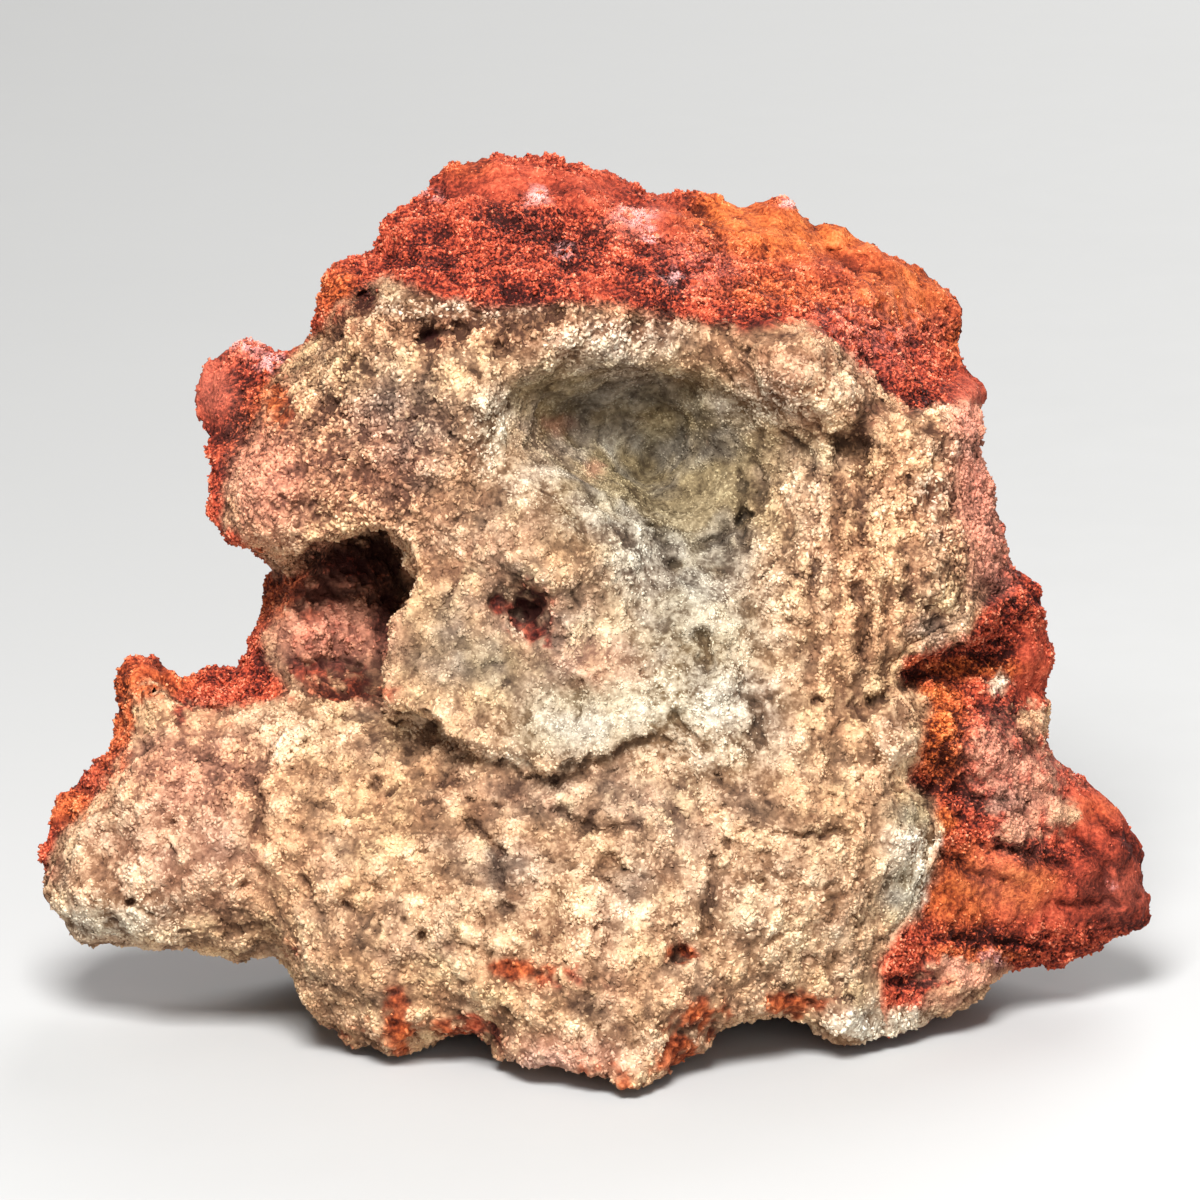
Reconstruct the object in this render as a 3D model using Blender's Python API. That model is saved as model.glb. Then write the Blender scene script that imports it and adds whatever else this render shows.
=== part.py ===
"""Stilbite on matrix: a broken block of pale granular matrix with a crust of orange-red stilbite.

The block stands on its own broken lobes. It is modelled in a survey frame first: x to the right
and y down over the broken face, in survey units, and height towards the viewer in millimetres.
The finished form is then leaned back, set on the ground and parted where the crust meets the
matrix. Blender units are metres, +Z up, with the broken face looking along -Y.
"""

import math

import bmesh
import bpy
import numpy as np
from mathutils import Matrix, Vector, noise
from mathutils.geometry import delaunay_2d_cdt

# Driving dimensions
UNIT_MM = 0.09  # millimetres for one survey unit
SURVEY_ORIGIN = (596, 1098)  # survey point at the middle of the foot line
LEAN_DEG = 15  # how far the broken face leans back
GROUND_MM = 5.8  # how far the survey origin lies below the ground plane
VIEW_MM = 1200  # how far away the survey was taken; nearer points look further apart
VIEW_CENTRE = (600, 600)  # survey point straight ahead of the viewer
CENTRE_SHIFT_MM = (0.0, -13.4)  # brings the finished form over the origin
EDGE_WEAR_MM = 0.35  # what the remesh wears off the outline
SHEET_STEP_MM = 1.1  # spacing of the points on the relief sheets
EDGE_STEP_MM = 1.3  # spacing of the points round the outline
VOXEL_MM = 0.8  # grain of the remeshed form
FACETS = 7000  # triangles kept on the whole form
CONTACT_STEP_MM = 4.2  # spacing of the points on the contact surface
CONTACT_GAP_MM = 0.5  # clearance between crust and matrix, measured front to back
CRUST_SLOPE = 1.25  # how steeply the contact dips below the face
BLOCK_REACH_MM = 60  # how far the parting blocks reach in front and behind

# Outline of the block seen from the front, clockwise from the crown, in survey units
OUTLINE = [
    (535, 156), (560, 160), (582, 166), (600, 172), (612, 182), (640, 184), (652, 191), (684, 190),
    (697, 202), (704, 194), (721, 192), (732, 206), (750, 205), (766, 200), (787, 200), (797, 210),
    (812, 218), (848, 223), (853, 240), (873, 252), (906, 258), (922, 269), (936, 293), (961, 308),
    (957, 324), (959, 347), (970, 364), (987, 377), (991, 396), (980, 418), (989, 438), (985, 458),
    (991, 485), (995, 507), (1005, 530), (1010, 556), (1030, 580), (1040, 597), (1033, 622),
    (1043, 642), (1045, 665), (1036, 697), (1048, 716), (1049, 744), (1066, 770), (1074, 786),
    (1101, 794), (1116, 808), (1137, 838), (1148, 860), (1141, 869), (1152, 893), (1152, 914),
    (1142, 928), (1115, 936), (1098, 950), (1055, 968), (1016, 966), (988, 984), (965, 1009),
    (944, 1012), (905, 1038), (870, 1044), (840, 1049), (812, 1034), (797, 1020), (762, 1022),
    (712, 1028), (700, 1041), (686, 1048), (672, 1069), (655, 1090), (630, 1099), (600, 1093),
    (560, 1083), (520, 1078), (500, 1062), (486, 1034), (475, 1029), (452, 1035), (412, 1043),
    (402, 1058), (393, 1063), (362, 1050), (345, 1031), (325, 1014), (303, 999), (288, 966),
    (264, 950), (240, 964), (226, 948), (205, 952), (180, 947), (155, 952), (138, 944), (118, 943),
    (92, 948), (79, 944), (60, 918), (49, 902), (41, 892), (42, 878), (36, 858), (49, 841),
    (48, 822), (60, 797), (84, 787), (99, 757), (111, 748), (116, 690), (123, 662), (137, 654),
    (156, 654), (172, 667), (184, 686), (195, 665), (208, 658), (224, 665), (250, 671), (249, 634),
    (263, 607), (265, 585), (284, 566), (264, 553), (226, 547), (217, 520), (212, 504), (216, 480),
    (213, 463), (201, 445), (194, 424), (192, 390), (200, 367), (230, 345), (250, 333), (268, 342),
    (276, 349), (300, 350), (317, 332), (312, 317), (322, 295), (340, 270), (360, 259), (380, 255),
    (386, 229), (403, 210), (422, 196), (436, 175), (456, 163), (490, 158), (508, 161),
]

# Height of the silhouette itself, towards the viewer: (x, y, height in mm)
RIM_SPOTS = [
    (535, 156, -9), (700, 200, -12), (850, 235, -13), (960, 310, -13), (990, 395, -12), (989, 450, 0),
    (1010, 556, -1), (1040, 597, -4), (1045, 665, -7), (1074, 786, -7), (1150, 890, -9), (1098, 950, -7),
    (1016, 966, -3), (965, 1009, 3), (845, 1047, 6), (760, 1022, 9), (700, 1040, 13), (630, 1099, 18),
    (520, 1078, 15), (475, 1029, 8), (395, 1062, 8.5), (325, 1014, 7), (264, 950, 2), (150, 950, 2),
    (45, 900, 0), (36, 858, -2), (84, 787, -3), (137, 654, -4), (208, 658, -5), (250, 650, -7),
    (265, 585, -9), (284, 566, -7), (226, 547, -1), (213, 490, 0), (192, 400, -10), (250, 333, -10),
    (300, 350, -6), (320, 300, -2), (386, 229, -6), (456, 163, -9),
]

# Height of the broken face: (x, y, height in mm)
FACE_SPOTS = [
    (225, 500, 6), (300, 450, 10), (380, 420, 11), (450, 480, 13), (330, 530, 9), (420, 360, 11),
    (350, 320, 8), (480, 335, 12), (440, 560, 13), (400, 640, 12.5), (480, 690, 13.5), (530, 620, 13),
    (560, 745, 15), (620, 700, 14.5), (500, 410, 12.5), (560, 490, 12), (620, 530, 11.5),
    (640, 580, 11.5), (560, 345, 11.5), (640, 350, 9.5), (700, 335, 9), (780, 365, 13), (840, 400, 12.5),
    (560, 430, 2.5), (640, 460, -1.0), (700, 430, 0.5), (770, 450, 4.5), (700, 540, 6), (640, 410, 0.5),
    (740, 500, 4.5), (820, 520, 10), (900, 450, 9.5), (955, 420, 8), (980, 500, 4), (900, 560, 11.5),
    (950, 600, 10), (1010, 600, 3), (850, 640, 12), (700, 640, 12.5), (770, 600, 11.5), (700, 700, 14),
    (770, 760, 14.5), (680, 800, 15), (880, 740, 12.5), (960, 740, 8.5), (1010, 730, 4), (1045, 760, 0),
    (1000, 820, 6), (1090, 820, -2), (1130, 870, -5), (950, 790, 7), (1000, 890, 3), (1060, 900, 0.5),
    (1120, 910, -5), (950, 950, 4), (900, 985, 7.5), (1040, 950, -1), (975, 990, 4.5), (600, 900, 18),
    (640, 980, 20.5), (600, 1050, 20.5), (640, 1085, 20), (700, 1010, 18), (780, 900, 16.5), (770, 1000, 15),
    (840, 940, 14), (840, 1025, 11.5), (890, 880, 12), (550, 250, 7), (550, 190, 0), (450, 230, 2),
    (650, 250, 5), (750, 280, 4), (720, 215, -6), (820, 240, -7), (860, 320, 3), (900, 290, -5),
    (925, 385, 0.5), (965, 370, -7), (420, 270, 7), (350, 275, 3), (240, 380, -5), (210, 420, -8),
    (280, 355, -4), (930, 680, 8.5), (900, 820, 11.5), (1000, 665, 1.5),
]

# Height of the lower tier, which passes behind the broken shelf: (x, y, height in mm)
TIER_SPOTS = [
    (300, 610, 0), (340, 575, -5), (385, 600, -7), (370, 650, -3), (280, 660, 2), (330, 700, 2.5),
    (375, 715, 4), (290, 740, 8), (230, 740, 5), (150, 700, 1.5), (210, 690, 0), (150, 800, 8),
    (80, 830, 3), (70, 880, 4), (110, 910, 6.5), (200, 880, 10.5), (300, 860, 13), (350, 780, 9.5),
    (430, 745, 7.5), (420, 800, 12), (490, 775, 11), (560, 790, 12.5), (620, 765, 13.5), (400, 900, 16),
    (330, 970, 14), (385, 1035, 13.5), (500, 900, 17.5), (440, 1000, 15.5), (600, 900, 18),
    (520, 1040, 18.5), (600, 1050, 20.5), (640, 980, 20.5), (240, 930, 8), (680, 800, 15), (700, 950, 18),
]

# Height of the back: (x, y, height in mm)
BACK_SPOTS = [
    (600, 600, -29), (600, 300, -25), (600, 850, -28), (420, 450, -21), (800, 450, -25), (850, 700, -25),
    (420, 800, -20), (200, 850, -12), (80, 860, -8), (1000, 850, -18), (1110, 890, -14), (750, 950, -26),
    (520, 950, -27), (300, 650, -15), (950, 550, -17), (550, 200, -20), (850, 290, -21), (240, 400, -17),
    (150, 700, -10), (960, 380, -19), (640, 1050, -28), (400, 1000, -21), (900, 1000, -22),
]

# Broken shelf that overhangs the lower tier, bounded below by its ragged lip
SHELF_LIP = [
    (150, 600), (226, 550), (262, 554), (278, 564), (300, 556), (318, 546), (345, 544), (372, 538),
    (398, 546), (403, 562), (406, 588), (401, 606), (388, 628), (384, 650), (387, 676), (383, 700),
    (386, 721), (412, 720), (432, 724), (444, 740), (458, 750), (486, 756), (512, 762), (526, 774),
    (556, 778), (580, 766), (604, 750), (640, 738), (700, 748), (780, 756),
]
SHELF_FADE = (600, 740)  # the shelf sinks into the tier between these x positions
UNDERCUT_MM = 3.2  # how far the tier reaches in under the shelf
UNDERCUT_REACH_MM = 6.0

# Lips that break the face: path, drop below the lip in mm, and how fast the drop fades
LIPS = [
    ([(495, 372), (520, 384), (560, 392), (600, 388), (612, 378), (650, 372), (700, 378), (722, 392)], 3.4, 7.0),
    ([(790, 418), (812, 428), (838, 434), (856, 432), (866, 452), (850, 470)], 2.6, 4.0),
    ([(1032, 628), (1004, 640), (972, 640), (950, 650), (925, 652), (900, 662), (884, 668)], -5.0, 5.0),
    ([(958, 698), (940, 674), (914, 674), (904, 688), (874, 710), (876, 748), (884, 780)], 2.0, 3.5),
    ([(888, 792), (920, 792), (950, 800), (985, 806), (1010, 800)], -2.2, 3.0),
    ([(945, 838), (990, 852), (1030, 852), (1062, 858), (1084, 872)], -3.0, 3.5),
    ([(306, 690), (330, 692), (352, 700), (384, 690)], -2.2, 2.5),
    ([(300, 662), (324, 660), (352, 662)], -2.4, 2.2),
    ([(262, 402), (282, 396), (296, 418), (290, 448)], -1.6, 2.0),
    ([(840, 338), (868, 372), (888, 398), (918, 414), (944, 404), (962, 398)], -2.6, 4.5),
]

# Pits in the face: x, y, radius in mm, depth in mm
PITS = [
    (366, 295, 1.2, 2.6), (430, 336, 1.3, 2.6), (524, 608, 1.9, 3.0), (516, 626, 1.3, 1.8),
    (560, 230, 3.2, 2.2), (590, 252, 2.6, 2.0), (690, 318, 1.8, 2.4), (632, 326, 1.6, 1.6),
    (650, 465, 2.2, 2.4), (694, 486, 1.8, 1.6), (985, 585, 2.4, 2.2), (421, 938, 0.9, 2.0),
    (680, 954, 1.0, 1.8), (850, 460, 1.6, 1.6),
]

# Swellings on the crust and the face: x, y, radius in mm, height in mm
SWELLINGS = [
    (735, 240, 3.4, 2.4), (625, 220, 3.0, 1.6), (470, 200, 5.0, 1.6), (560, 175, 4.0, 1.4),
    (670, 205, 3.4, 1.4), (790, 225, 3.2, 1.8), (870, 275, 3.6, 1.8), (940, 320, 2.8, 2.0),
    (985, 395, 2.6, 2.2), (250, 342, 1.8, 1.6), (268, 362, 1.4, 1.4), (215, 390, 3.2, 1.4),
    (800, 365, 4.2, 1.6), (845, 395, 3.0, 1.4), (960, 425, 2.6, 1.4), (1120, 840, 3.8, 2.0),
    (1130, 905, 3.4, 1.8), (1035, 655, 2.6, 1.6), (1030, 725, 2.4, 1.4), (150, 690, 3.0, 1.8),
    (215, 685, 2.6, 1.4), (80, 820, 2.6, 1.2), (300, 725, 2.6, 1.4), (885, 745, 2.4, 1.2),
    (1000, 825, 2.6, 1.6), (550, 755, 3.0, 1.2), (840, 1030, 2.8, 1.2), (385, 1045, 2.4, 1.0),
]

# Low swellings under the back that reach the ground: across and back in mm, radius in mm
FEET = [(-13.0, 21.0, 8.5), (14.5, 23.0, 9.5), (2.0, 4.0, 6.0)]
UNDERSIDE_MM = 2.0  # how far the rest of the underside clears the ground
FOOT_SINK_MM = 1.2  # how far a foot would reach below the ground before it is worn flat

# Front edge of the crust, closed outside the outline, in survey units
CRUST_EDGE = [
    (290, 700), (262, 640), (285, 600), (268, 560), (222, 520), (226, 486), (238, 458), (252, 428),
    (266, 396), (282, 366), (312, 338), (338, 306), (384, 276), (406, 284), (432, 300), (480, 306),
    (540, 308), (600, 304), (650, 312), (692, 322), (722, 328), (762, 330), (800, 322), (830, 336),
    (852, 356), (872, 376), (888, 398), (912, 414), (946, 404), (968, 402), (980, 430), (972, 470),
    (978, 520), (992, 560), (986, 600), (962, 640), (905, 656), (896, 680), (930, 694), (922, 740),
    (908, 788), (936, 800), (942, 832), (934, 870), (918, 912), (888, 948), (878, 964), (880, 1008),
    (902, 1020), (930, 1000), (962, 984), (1000, 964), (1060, 1010), (1250, 1000), (1250, 50),
    (60, 50), (-60, 600), (-60, 870), (50, 870), (62, 838), (96, 800), (120, 762), (128, 700),
    (150, 668), (176, 700), (210, 708), (250, 700),
]

# Thickness of the crust over the back; below zero there is none: (x, y, thickness in mm)
CRUST_SPOTS = [
    (600, 600, 7), (600, 300, 8), (600, 800, 6), (400, 450, 6), (800, 450, 7), (850, 700, 7),
    (300, 650, 6), (200, 800, 4), (80, 840, 3), (1000, 850, 7), (1110, 890, 8), (950, 550, 6),
    (550, 200, 9), (850, 290, 9), (240, 400, 7), (150, 700, 5), (960, 380, 8), (600, 960, -4),
    (450, 960, -4), (760, 980, -4), (900, 1010, -3), (380, 1020, -5), (280, 960, -4), (150, 950, -4),
    (60, 915, -4), (640, 1090, -6), (840, 1040, -5), (1010, 960, 1),
]

# Form of the surface between the named features
KNUCKLES_MM = ((9.5, 2.6), (5.0, 1.0))  # size and height of the rounded knuckles on the back
ROUGH_MM = ((7.5, 0.55), (3.6, 0.34))  # wavelength and height of the broken surface
FRONT_ROUND = [(550, 156, 13), (800, 220, 12), (950, 320, 10), (985, 400, 7), (1010, 560, 5), (1045, 660, 5),
               (1140, 880, 8), (1000, 970, 4), (840, 1040, 4.5), (640, 1095, 5), (390, 1055, 4), (150, 948, 4),
               (40, 870, 5), (130, 660, 5), (250, 640, 5), (215, 500, 3), (195, 400, 7), (320, 310, 4)]
BACK_ROUND = [(550, 156, 14), (950, 330, 13), (195, 400, 9), (1045, 660, 12), (1150, 890, 10), (130, 700, 8),
              (40, 860, 6), (150, 950, 5), (320, 1010, 4), (475, 1030, 4), (560, 1085, 5), (700, 1030, 4),
              (840, 1045, 4), (960, 1000, 6), (1050, 965, 8)]

COLOURS = {
    "matrix": ((0.66, 0.50, 0.34), 0.9),
    "stilbite_crust": ((0.56, 0.15, 0.07), 0.75),
}


def to_mm(points):
    """Survey points as millimetres: right and up from the survey origin."""
    p = np.asarray(points, float)[:, :2]
    return (p - SURVEY_ORIGIN) * (UNIT_MM, -UNIT_MM)


def smooth_step(t):
    t = np.clip(t, 0, 1)
    return t * t * (3 - 2 * t)


def through_spots(spots):
    """A smooth surface through spot heights, as a thin plate bent over them."""
    at = to_mm(spots)
    heights = np.array([s[2] for s in spots], float)

    def bend(p):
        squared = ((p[:, None, :] - at[None, :, :]) ** 2).sum(2)
        return 0.5 * squared * np.log(squared + 1e-9)

    n = len(at)
    flat = np.column_stack([np.ones(n), at])
    system = np.block([[bend(at) + 0.5 * np.eye(n), flat], [flat.T, np.zeros((3, 3))]])
    weights = np.linalg.solve(system, np.append(heights, np.zeros(3)))

    def surface(p):
        return bend(p) @ weights[:n] + np.column_stack([np.ones(len(p)), p]) @ weights[n:]

    return surface


def near_spots(spots, power=3):
    """A value at each point, shared out from the spots by closeness."""
    at = to_mm(spots)
    values = np.array([s[2] for s in spots], float)

    def value(p):
        apart = np.sqrt(((p[:, None, :] - at[None, :, :]) ** 2).sum(2)) + 0.5
        share = apart**-power
        return (share @ values) / share.sum(1)

    return value


def to_path(p, path, closed=False):
    """Distance of each point from a path, its side (1 on the left of travel) and its place along it."""
    ends = np.roll(path, -1, 0) if closed else path[1:]
    starts = path if closed else path[:-1]
    run = ends - starts
    length = np.sqrt((run**2).sum(1))
    best = np.full(len(p), 1e9)
    side = np.ones(len(p))
    along = np.zeros(len(p))
    walked = 0.0
    for start, step, long in zip(starts, run, length):
        t = np.clip(((p - start) @ step) / long**2, 0, 1)
        apart = p - start - t[:, None] * step
        d = np.sqrt((apart**2).sum(1))
        closer = d < best
        turn = step[0] * (p[:, 1] - start[1]) - step[1] * (p[:, 0] - start[0])
        best = np.where(closer, d, best)
        side = np.where(closer, np.sign(turn) + (turn == 0), side)
        along = np.where(closer, walked + t * long, along)
        walked += long
    return best, side, along / walked


def inside(p, polygon):
    """True for each point inside a closed path."""
    found = np.zeros(len(p), bool)
    for (x0, y0), (x1, y1) in zip(polygon, np.roll(polygon, -1, 0)):
        crosses = (y0 > p[:, 1]) != (y1 > p[:, 1])
        at = x0 + (p[:, 1] - y0) * (x1 - x0) / ((y1 - y0) + 1e-12)
        found ^= crosses & (p[:, 0] < at)
    return found


def rough(p, depth, seed):
    """Broken relief at each point, from the wavelengths in ROUGH_MM."""
    total = np.zeros(len(p))
    for size, height in ROUGH_MM:
        total += height * np.array(
            [noise.noise(Vector((u / size + seed, v / size, w / size))) for (u, v), w in zip(p, depth)]
        )
    return total * 2


def knuckles(p, size):
    """Rounded domes packed side by side, 0 between them and 1 on their tops."""
    nearest = [noise.voronoi(Vector((u / size, v / size, 0.5)))[0][0] for u, v in p]
    return np.sqrt(np.clip(1 - (np.array(nearest) / 0.75) ** 2, 0, 1))


def face_relief(p):
    """Height of the front of the block before its edge is rounded."""
    face = through_spots(FACE_SPOTS)(p)
    tier = through_spots(TIER_SPOTS)(p)
    apart, side, _ = to_path(p, to_mm(SHELF_LIP))
    x = p[:, 0] / UNIT_MM + SURVEY_ORIGIN[0]
    fade = smooth_step((x - SHELF_FADE[0]) / (SHELF_FADE[1] - SHELF_FADE[0]))
    below = smooth_step(0.5 - side * apart / 0.8) * (1 - fade)
    height = face + (tier - face) * below
    for path, drop, reach in LIPS:
        apart, side, along = to_path(p, to_mm(path))
        ends = smooth_step(np.minimum(along, 1 - along) / 0.18)
        on_low_side = smooth_step(0.5 - np.sign(drop) * side * apart / 0.8)
        height -= abs(drop) * on_low_side * np.exp(-apart / reach) * ends
    for x, y, radius, depth in PITS:
        near = ((p - to_mm([(x, y)])) ** 2).sum(1) / radius**2
        height -= depth * np.exp(-near)
    for x, y, radius, rise in SWELLINGS:
        near = ((p - to_mm([(x, y)])) ** 2).sum(1) / radius**2
        height += rise * np.clip(1 - near, 0, 1) ** 0.75
    return height


def underside_relief(p):
    """Height of the worn underside, just clear of the ground except on its feet."""
    lean = math.radians(LEAN_DEG)
    centre = to_mm([VIEW_CENTRE])[0]
    steepness = math.sin(lean) - (p[:, 1] - centre[1]) * math.cos(lean) / VIEW_MM
    ground = (GROUND_MM - p[:, 1] * math.cos(lean)) / steepness
    u, v = (centre + (p - centre) * (1 - ground / VIEW_MM)[:, None]).T
    back = v * math.sin(lean) - ground * math.cos(lean)
    clearance = np.full(len(p), float(UNDERSIDE_MM))
    for x, y, radius in FEET:
        near = np.exp(-((u - x) ** 2 + (back - y) ** 2) / radius**2)
        clearance -= (UNDERSIDE_MM + FOOT_SINK_MM) * near
    return ground + clearance / steepness


def back_relief(p):
    """Height of the back of the block before its edge is rounded."""
    dome = through_spots(BACK_SPOTS)(p)
    for size, height in KNUCKLES_MM:
        dome -= height * knuckles(p, size)
    return np.maximum(dome, underside_relief(p))


def front_and_back(p):
    """Heights of the two sheets of the block at each point, meeting at the outline."""
    edge, _, _ = to_path(p, to_mm(OUTLINE), closed=True)
    rim = near_spots(RIM_SPOTS)(p)
    front = rim + (face_relief(p) - rim) * quarter_round(edge / near_spots(FRONT_ROUND)(p))
    back = rim + (back_relief(p) - rim) * quarter_round(edge / near_spots(BACK_ROUND)(p))
    wall = 0.5 * smooth_step(edge / 2)
    front += rough(p, front, 3.1) * smooth_step(edge / 2)
    back += rough(p, back, 8.7) * smooth_step(edge / 2)
    return np.maximum(front, back + wall), back


def quarter_round(t):
    """0 at the edge, rising as a quarter circle to 1."""
    return np.sqrt(1 - (1 - np.clip(t, 0, 1)) ** 2)


def tuck_under_shelf(p, front):
    """Moves the tier's points in under the shelf's lip, so that the shelf overhangs."""
    lip = to_mm(SHELF_LIP)
    apart, side, _ = to_path(p, lip)
    nudge = 0.05
    slope = []
    for axis in ((nudge, 0), (0, nudge)):
        ahead, _, _ = to_path(p + axis, lip)
        slope.append((ahead - apart) / nudge)
    x = p[:, 0] / UNIT_MM + SURVEY_ORIGIN[0]
    fade = 1 - smooth_step((x - SHELF_FADE[0] + 60) / 120)
    near = smooth_step(1 - apart / UNDERCUT_REACH_MM) * (side < 0) * fade
    moved = p - np.column_stack(slope) * (UNDERCUT_MM * near)[:, None]
    return np.where((side < 0)[:, None], moved, p)


def closed_curve(points, step, outward):
    """Points a step apart on a smooth closed curve through the given ones, moved outward a little."""
    p = to_mm(points)
    before, after, beyond = np.roll(p, 1, 0), np.roll(p, -1, 0), np.roll(p, -2, 0)
    found = []
    for a, b, c, d in zip(before, p, after, beyond):
        parts = max(1, round(float(np.linalg.norm(c - b)) / step))
        for t in np.arange(parts) / parts:
            found.append(0.5 * (2 * b + (c - a) * t + (2 * a - 5 * b + 4 * c - d) * t**2
                                + (3 * b - a - 3 * c + d) * t**3))
    found = np.array(found)
    along = np.roll(found, -1, 0) - np.roll(found, 1, 0)
    across = along @ np.array([[0, 1], [-1, 0]]) / np.linalg.norm(along, axis=1, keepdims=True)
    return found + outward * across


def sheet_points(outline, step):
    """Points in rows inside the outline, no closer to it than half a step."""
    low, high = outline.min(0), outline.max(0)
    rows = np.arange(low[1], high[1], step * 0.866)
    grid = [
        (u + (row % 2) * step / 2, v)
        for row, v in enumerate(rows)
        for u in np.arange(low[0], high[0], step)
    ]
    grid = np.array(grid)
    grid = grid[inside(grid, outline)]
    apart, _, _ = to_path(grid, outline, closed=True)
    return grid[apart > 0.55 * step]


def new_object(name, vertices, faces):
    mesh = bpy.data.meshes.new(name)
    mesh.from_pydata([tuple(v) for v in vertices], [], faces)
    obj = bpy.data.objects.new(name, mesh)
    bpy.context.scene.collection.objects.link(obj)
    return obj


def face_outward(obj):
    bm = bmesh.new()
    bm.from_mesh(obj.data)
    bmesh.ops.recalc_face_normals(bm, faces=bm.faces)
    bm.to_mesh(obj.data)
    bm.free()


def make_block():
    """The whole block as one closed mesh, in the survey frame and millimetres."""
    outline = closed_curve(OUTLINE, EDGE_STEP_MM, EDGE_WEAR_MM)
    points = np.vstack([outline, sheet_points(outline, SHEET_STEP_MM)])
    ring = len(outline)
    edges = [(i, (i + 1) % ring) for i in range(ring)]
    flat, _, faces, _, _, _ = delaunay_2d_cdt([Vector(p) for p in points], edges, [], 1, 1e-5)
    flat = np.array([tuple(v) for v in flat])
    front, back = front_and_back(flat)
    rim = near_spots(RIM_SPOTS)(flat[:ring])
    back[:ring] = rim
    front[:ring] = rim
    flat_front = tuck_under_shelf(flat, front)
    flat_front[:ring] = flat[:ring]
    count = len(flat)
    vertices = np.vstack([
        np.column_stack([flat_front, front]),
        np.column_stack([flat, back]),
    ])
    across = np.arange(count) + count
    across[:ring] = np.arange(ring)
    faces = [list(f) for f in faces]
    behind = [[int(across[i]) for i in reversed(f)] for f in faces]
    used = np.zeros(2 * count, bool)
    used[[i for f in faces + behind for i in f]] = True
    index = np.cumsum(used) - 1
    faces = [[int(index[i]) for i in f] for f in faces + behind]
    block = new_object("block", vertices[used], faces)
    face_outward(block)
    return block


def apply_modifiers(obj):
    """Replaces the object's mesh by the one that its modifiers make."""
    graph = bpy.context.evaluated_depsgraph_get()
    mesh = bpy.data.meshes.new_from_object(obj.evaluated_get(graph))
    obj.modifiers.clear()
    obj.data = mesh


def remesh(block):
    """One closed skin over the block, thinned to the facets that its form needs."""
    skin = block.modifiers.new("skin", "REMESH")
    skin.mode = "VOXEL"
    skin.voxel_size = VOXEL_MM
    apply_modifiers(block)
    ease = block.modifiers.new("ease", "SMOOTH")
    ease.factor = 0.5
    ease.iterations = 2
    split = block.modifiers.new("split", "TRIANGULATE")
    split.min_vertices = 4
    apply_modifiers(block)
    thin = block.modifiers.new("thin", "DECIMATE")
    thin.ratio = FACETS / len(block.data.polygons)
    apply_modifiers(block)


def stand_up(obj):
    """Carries the object from the survey frame, in millimetres, to the standing block in metres."""
    centre = to_mm([VIEW_CENTRE])[0]
    p = np.empty(3 * len(obj.data.vertices), np.float32)
    obj.data.vertices.foreach_get("co", p)
    p = p.reshape(-1, 3).astype(float)
    p[:, :2] = centre + (p[:, :2] - centre) * (1 - p[:, 2:] / VIEW_MM)
    obj.data.vertices.foreach_set("co", p.ravel())
    lean = math.radians(LEAN_DEG)
    scale = Matrix.Scale(0.001, 4)
    axes = Matrix((
        (1, 0, 0, CENTRE_SHIFT_MM[0]),
        (0, math.sin(lean), -math.cos(lean), CENTRE_SHIFT_MM[1]),
        (0, math.cos(lean), math.sin(lean), -GROUND_MM),
        (0, 0, 0, 1),
    ))
    obj.data.transform(scale @ axes)


def contact_height(p):
    """Height of the surface where crust and matrix meet."""
    front = through_spots(FACE_SPOTS)(p)
    tier = through_spots(TIER_SPOTS)(p)
    apart, side, _ = to_path(p, to_mm(SHELF_LIP))
    x = p[:, 0] / UNIT_MM + SURVEY_ORIGIN[0]
    fade = smooth_step((x - SHELF_FADE[0]) / (SHELF_FADE[1] - SHELF_FADE[0]))
    front += (tier - front) * smooth_step(0.5 - side * apart / 6) * (1 - fade)
    edge = to_mm(CRUST_EDGE)
    apart, _, _ = to_path(p, edge, closed=True)
    depth = np.where(inside(p, edge), apart, -apart)
    back = np.maximum(through_spots(BACK_SPOTS)(p), -40)
    return np.maximum(front + CRUST_SLOPE * depth, back + through_spots(CRUST_SPOTS)(p))


def make_parting_block(name, offset, reach):
    """A solid bounded by the contact surface, moved by the offset, and by a far plane."""
    low, high = to_mm([(-80, 1180)])[0], to_mm([(1280, 60)])[0]
    across = int((high[0] - low[0]) / CONTACT_STEP_MM)
    up = int((high[1] - low[1]) / CONTACT_STEP_MM)
    u, v = np.meshgrid(np.linspace(low[0], high[0], across), np.linspace(low[1], high[1], up))
    p = np.column_stack([u.ravel(), v.ravel()])
    contact = contact_height(p) + offset
    bm = bmesh.new()
    grid = [bm.verts.new((a, b, c)) for (a, b), c in zip(p, contact)]
    for row in range(up - 1):
        for column in range(across - 1):
            a = row * across + column
            bm.faces.new((grid[a], grid[a + 1], grid[a + across + 1]))
            bm.faces.new((grid[a], grid[a + across + 1], grid[a + across]))
    far = bmesh.ops.extrude_face_region(bm, geom=bm.faces[:])
    for vertex in [g for g in far["geom"] if isinstance(g, bmesh.types.BMVert)]:
        vertex.co.z = reach
    bmesh.ops.recalc_face_normals(bm, faces=bm.faces)
    mesh = bpy.data.meshes.new(name)
    bm.to_mesh(mesh)
    bm.free()
    block = bpy.data.objects.new(name, mesh)
    bpy.context.scene.collection.objects.link(block)
    return block


def make_helper(obj):
    obj.hide_render = True
    obj.display_type = "WIRE"


def cut(obj, cutter, operation):
    step = obj.modifiers.new(operation.lower(), "BOOLEAN")
    step.operation = operation
    step.solver = "EXACT"
    step.object = cutter
    apply_modifiers(obj)


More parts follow.
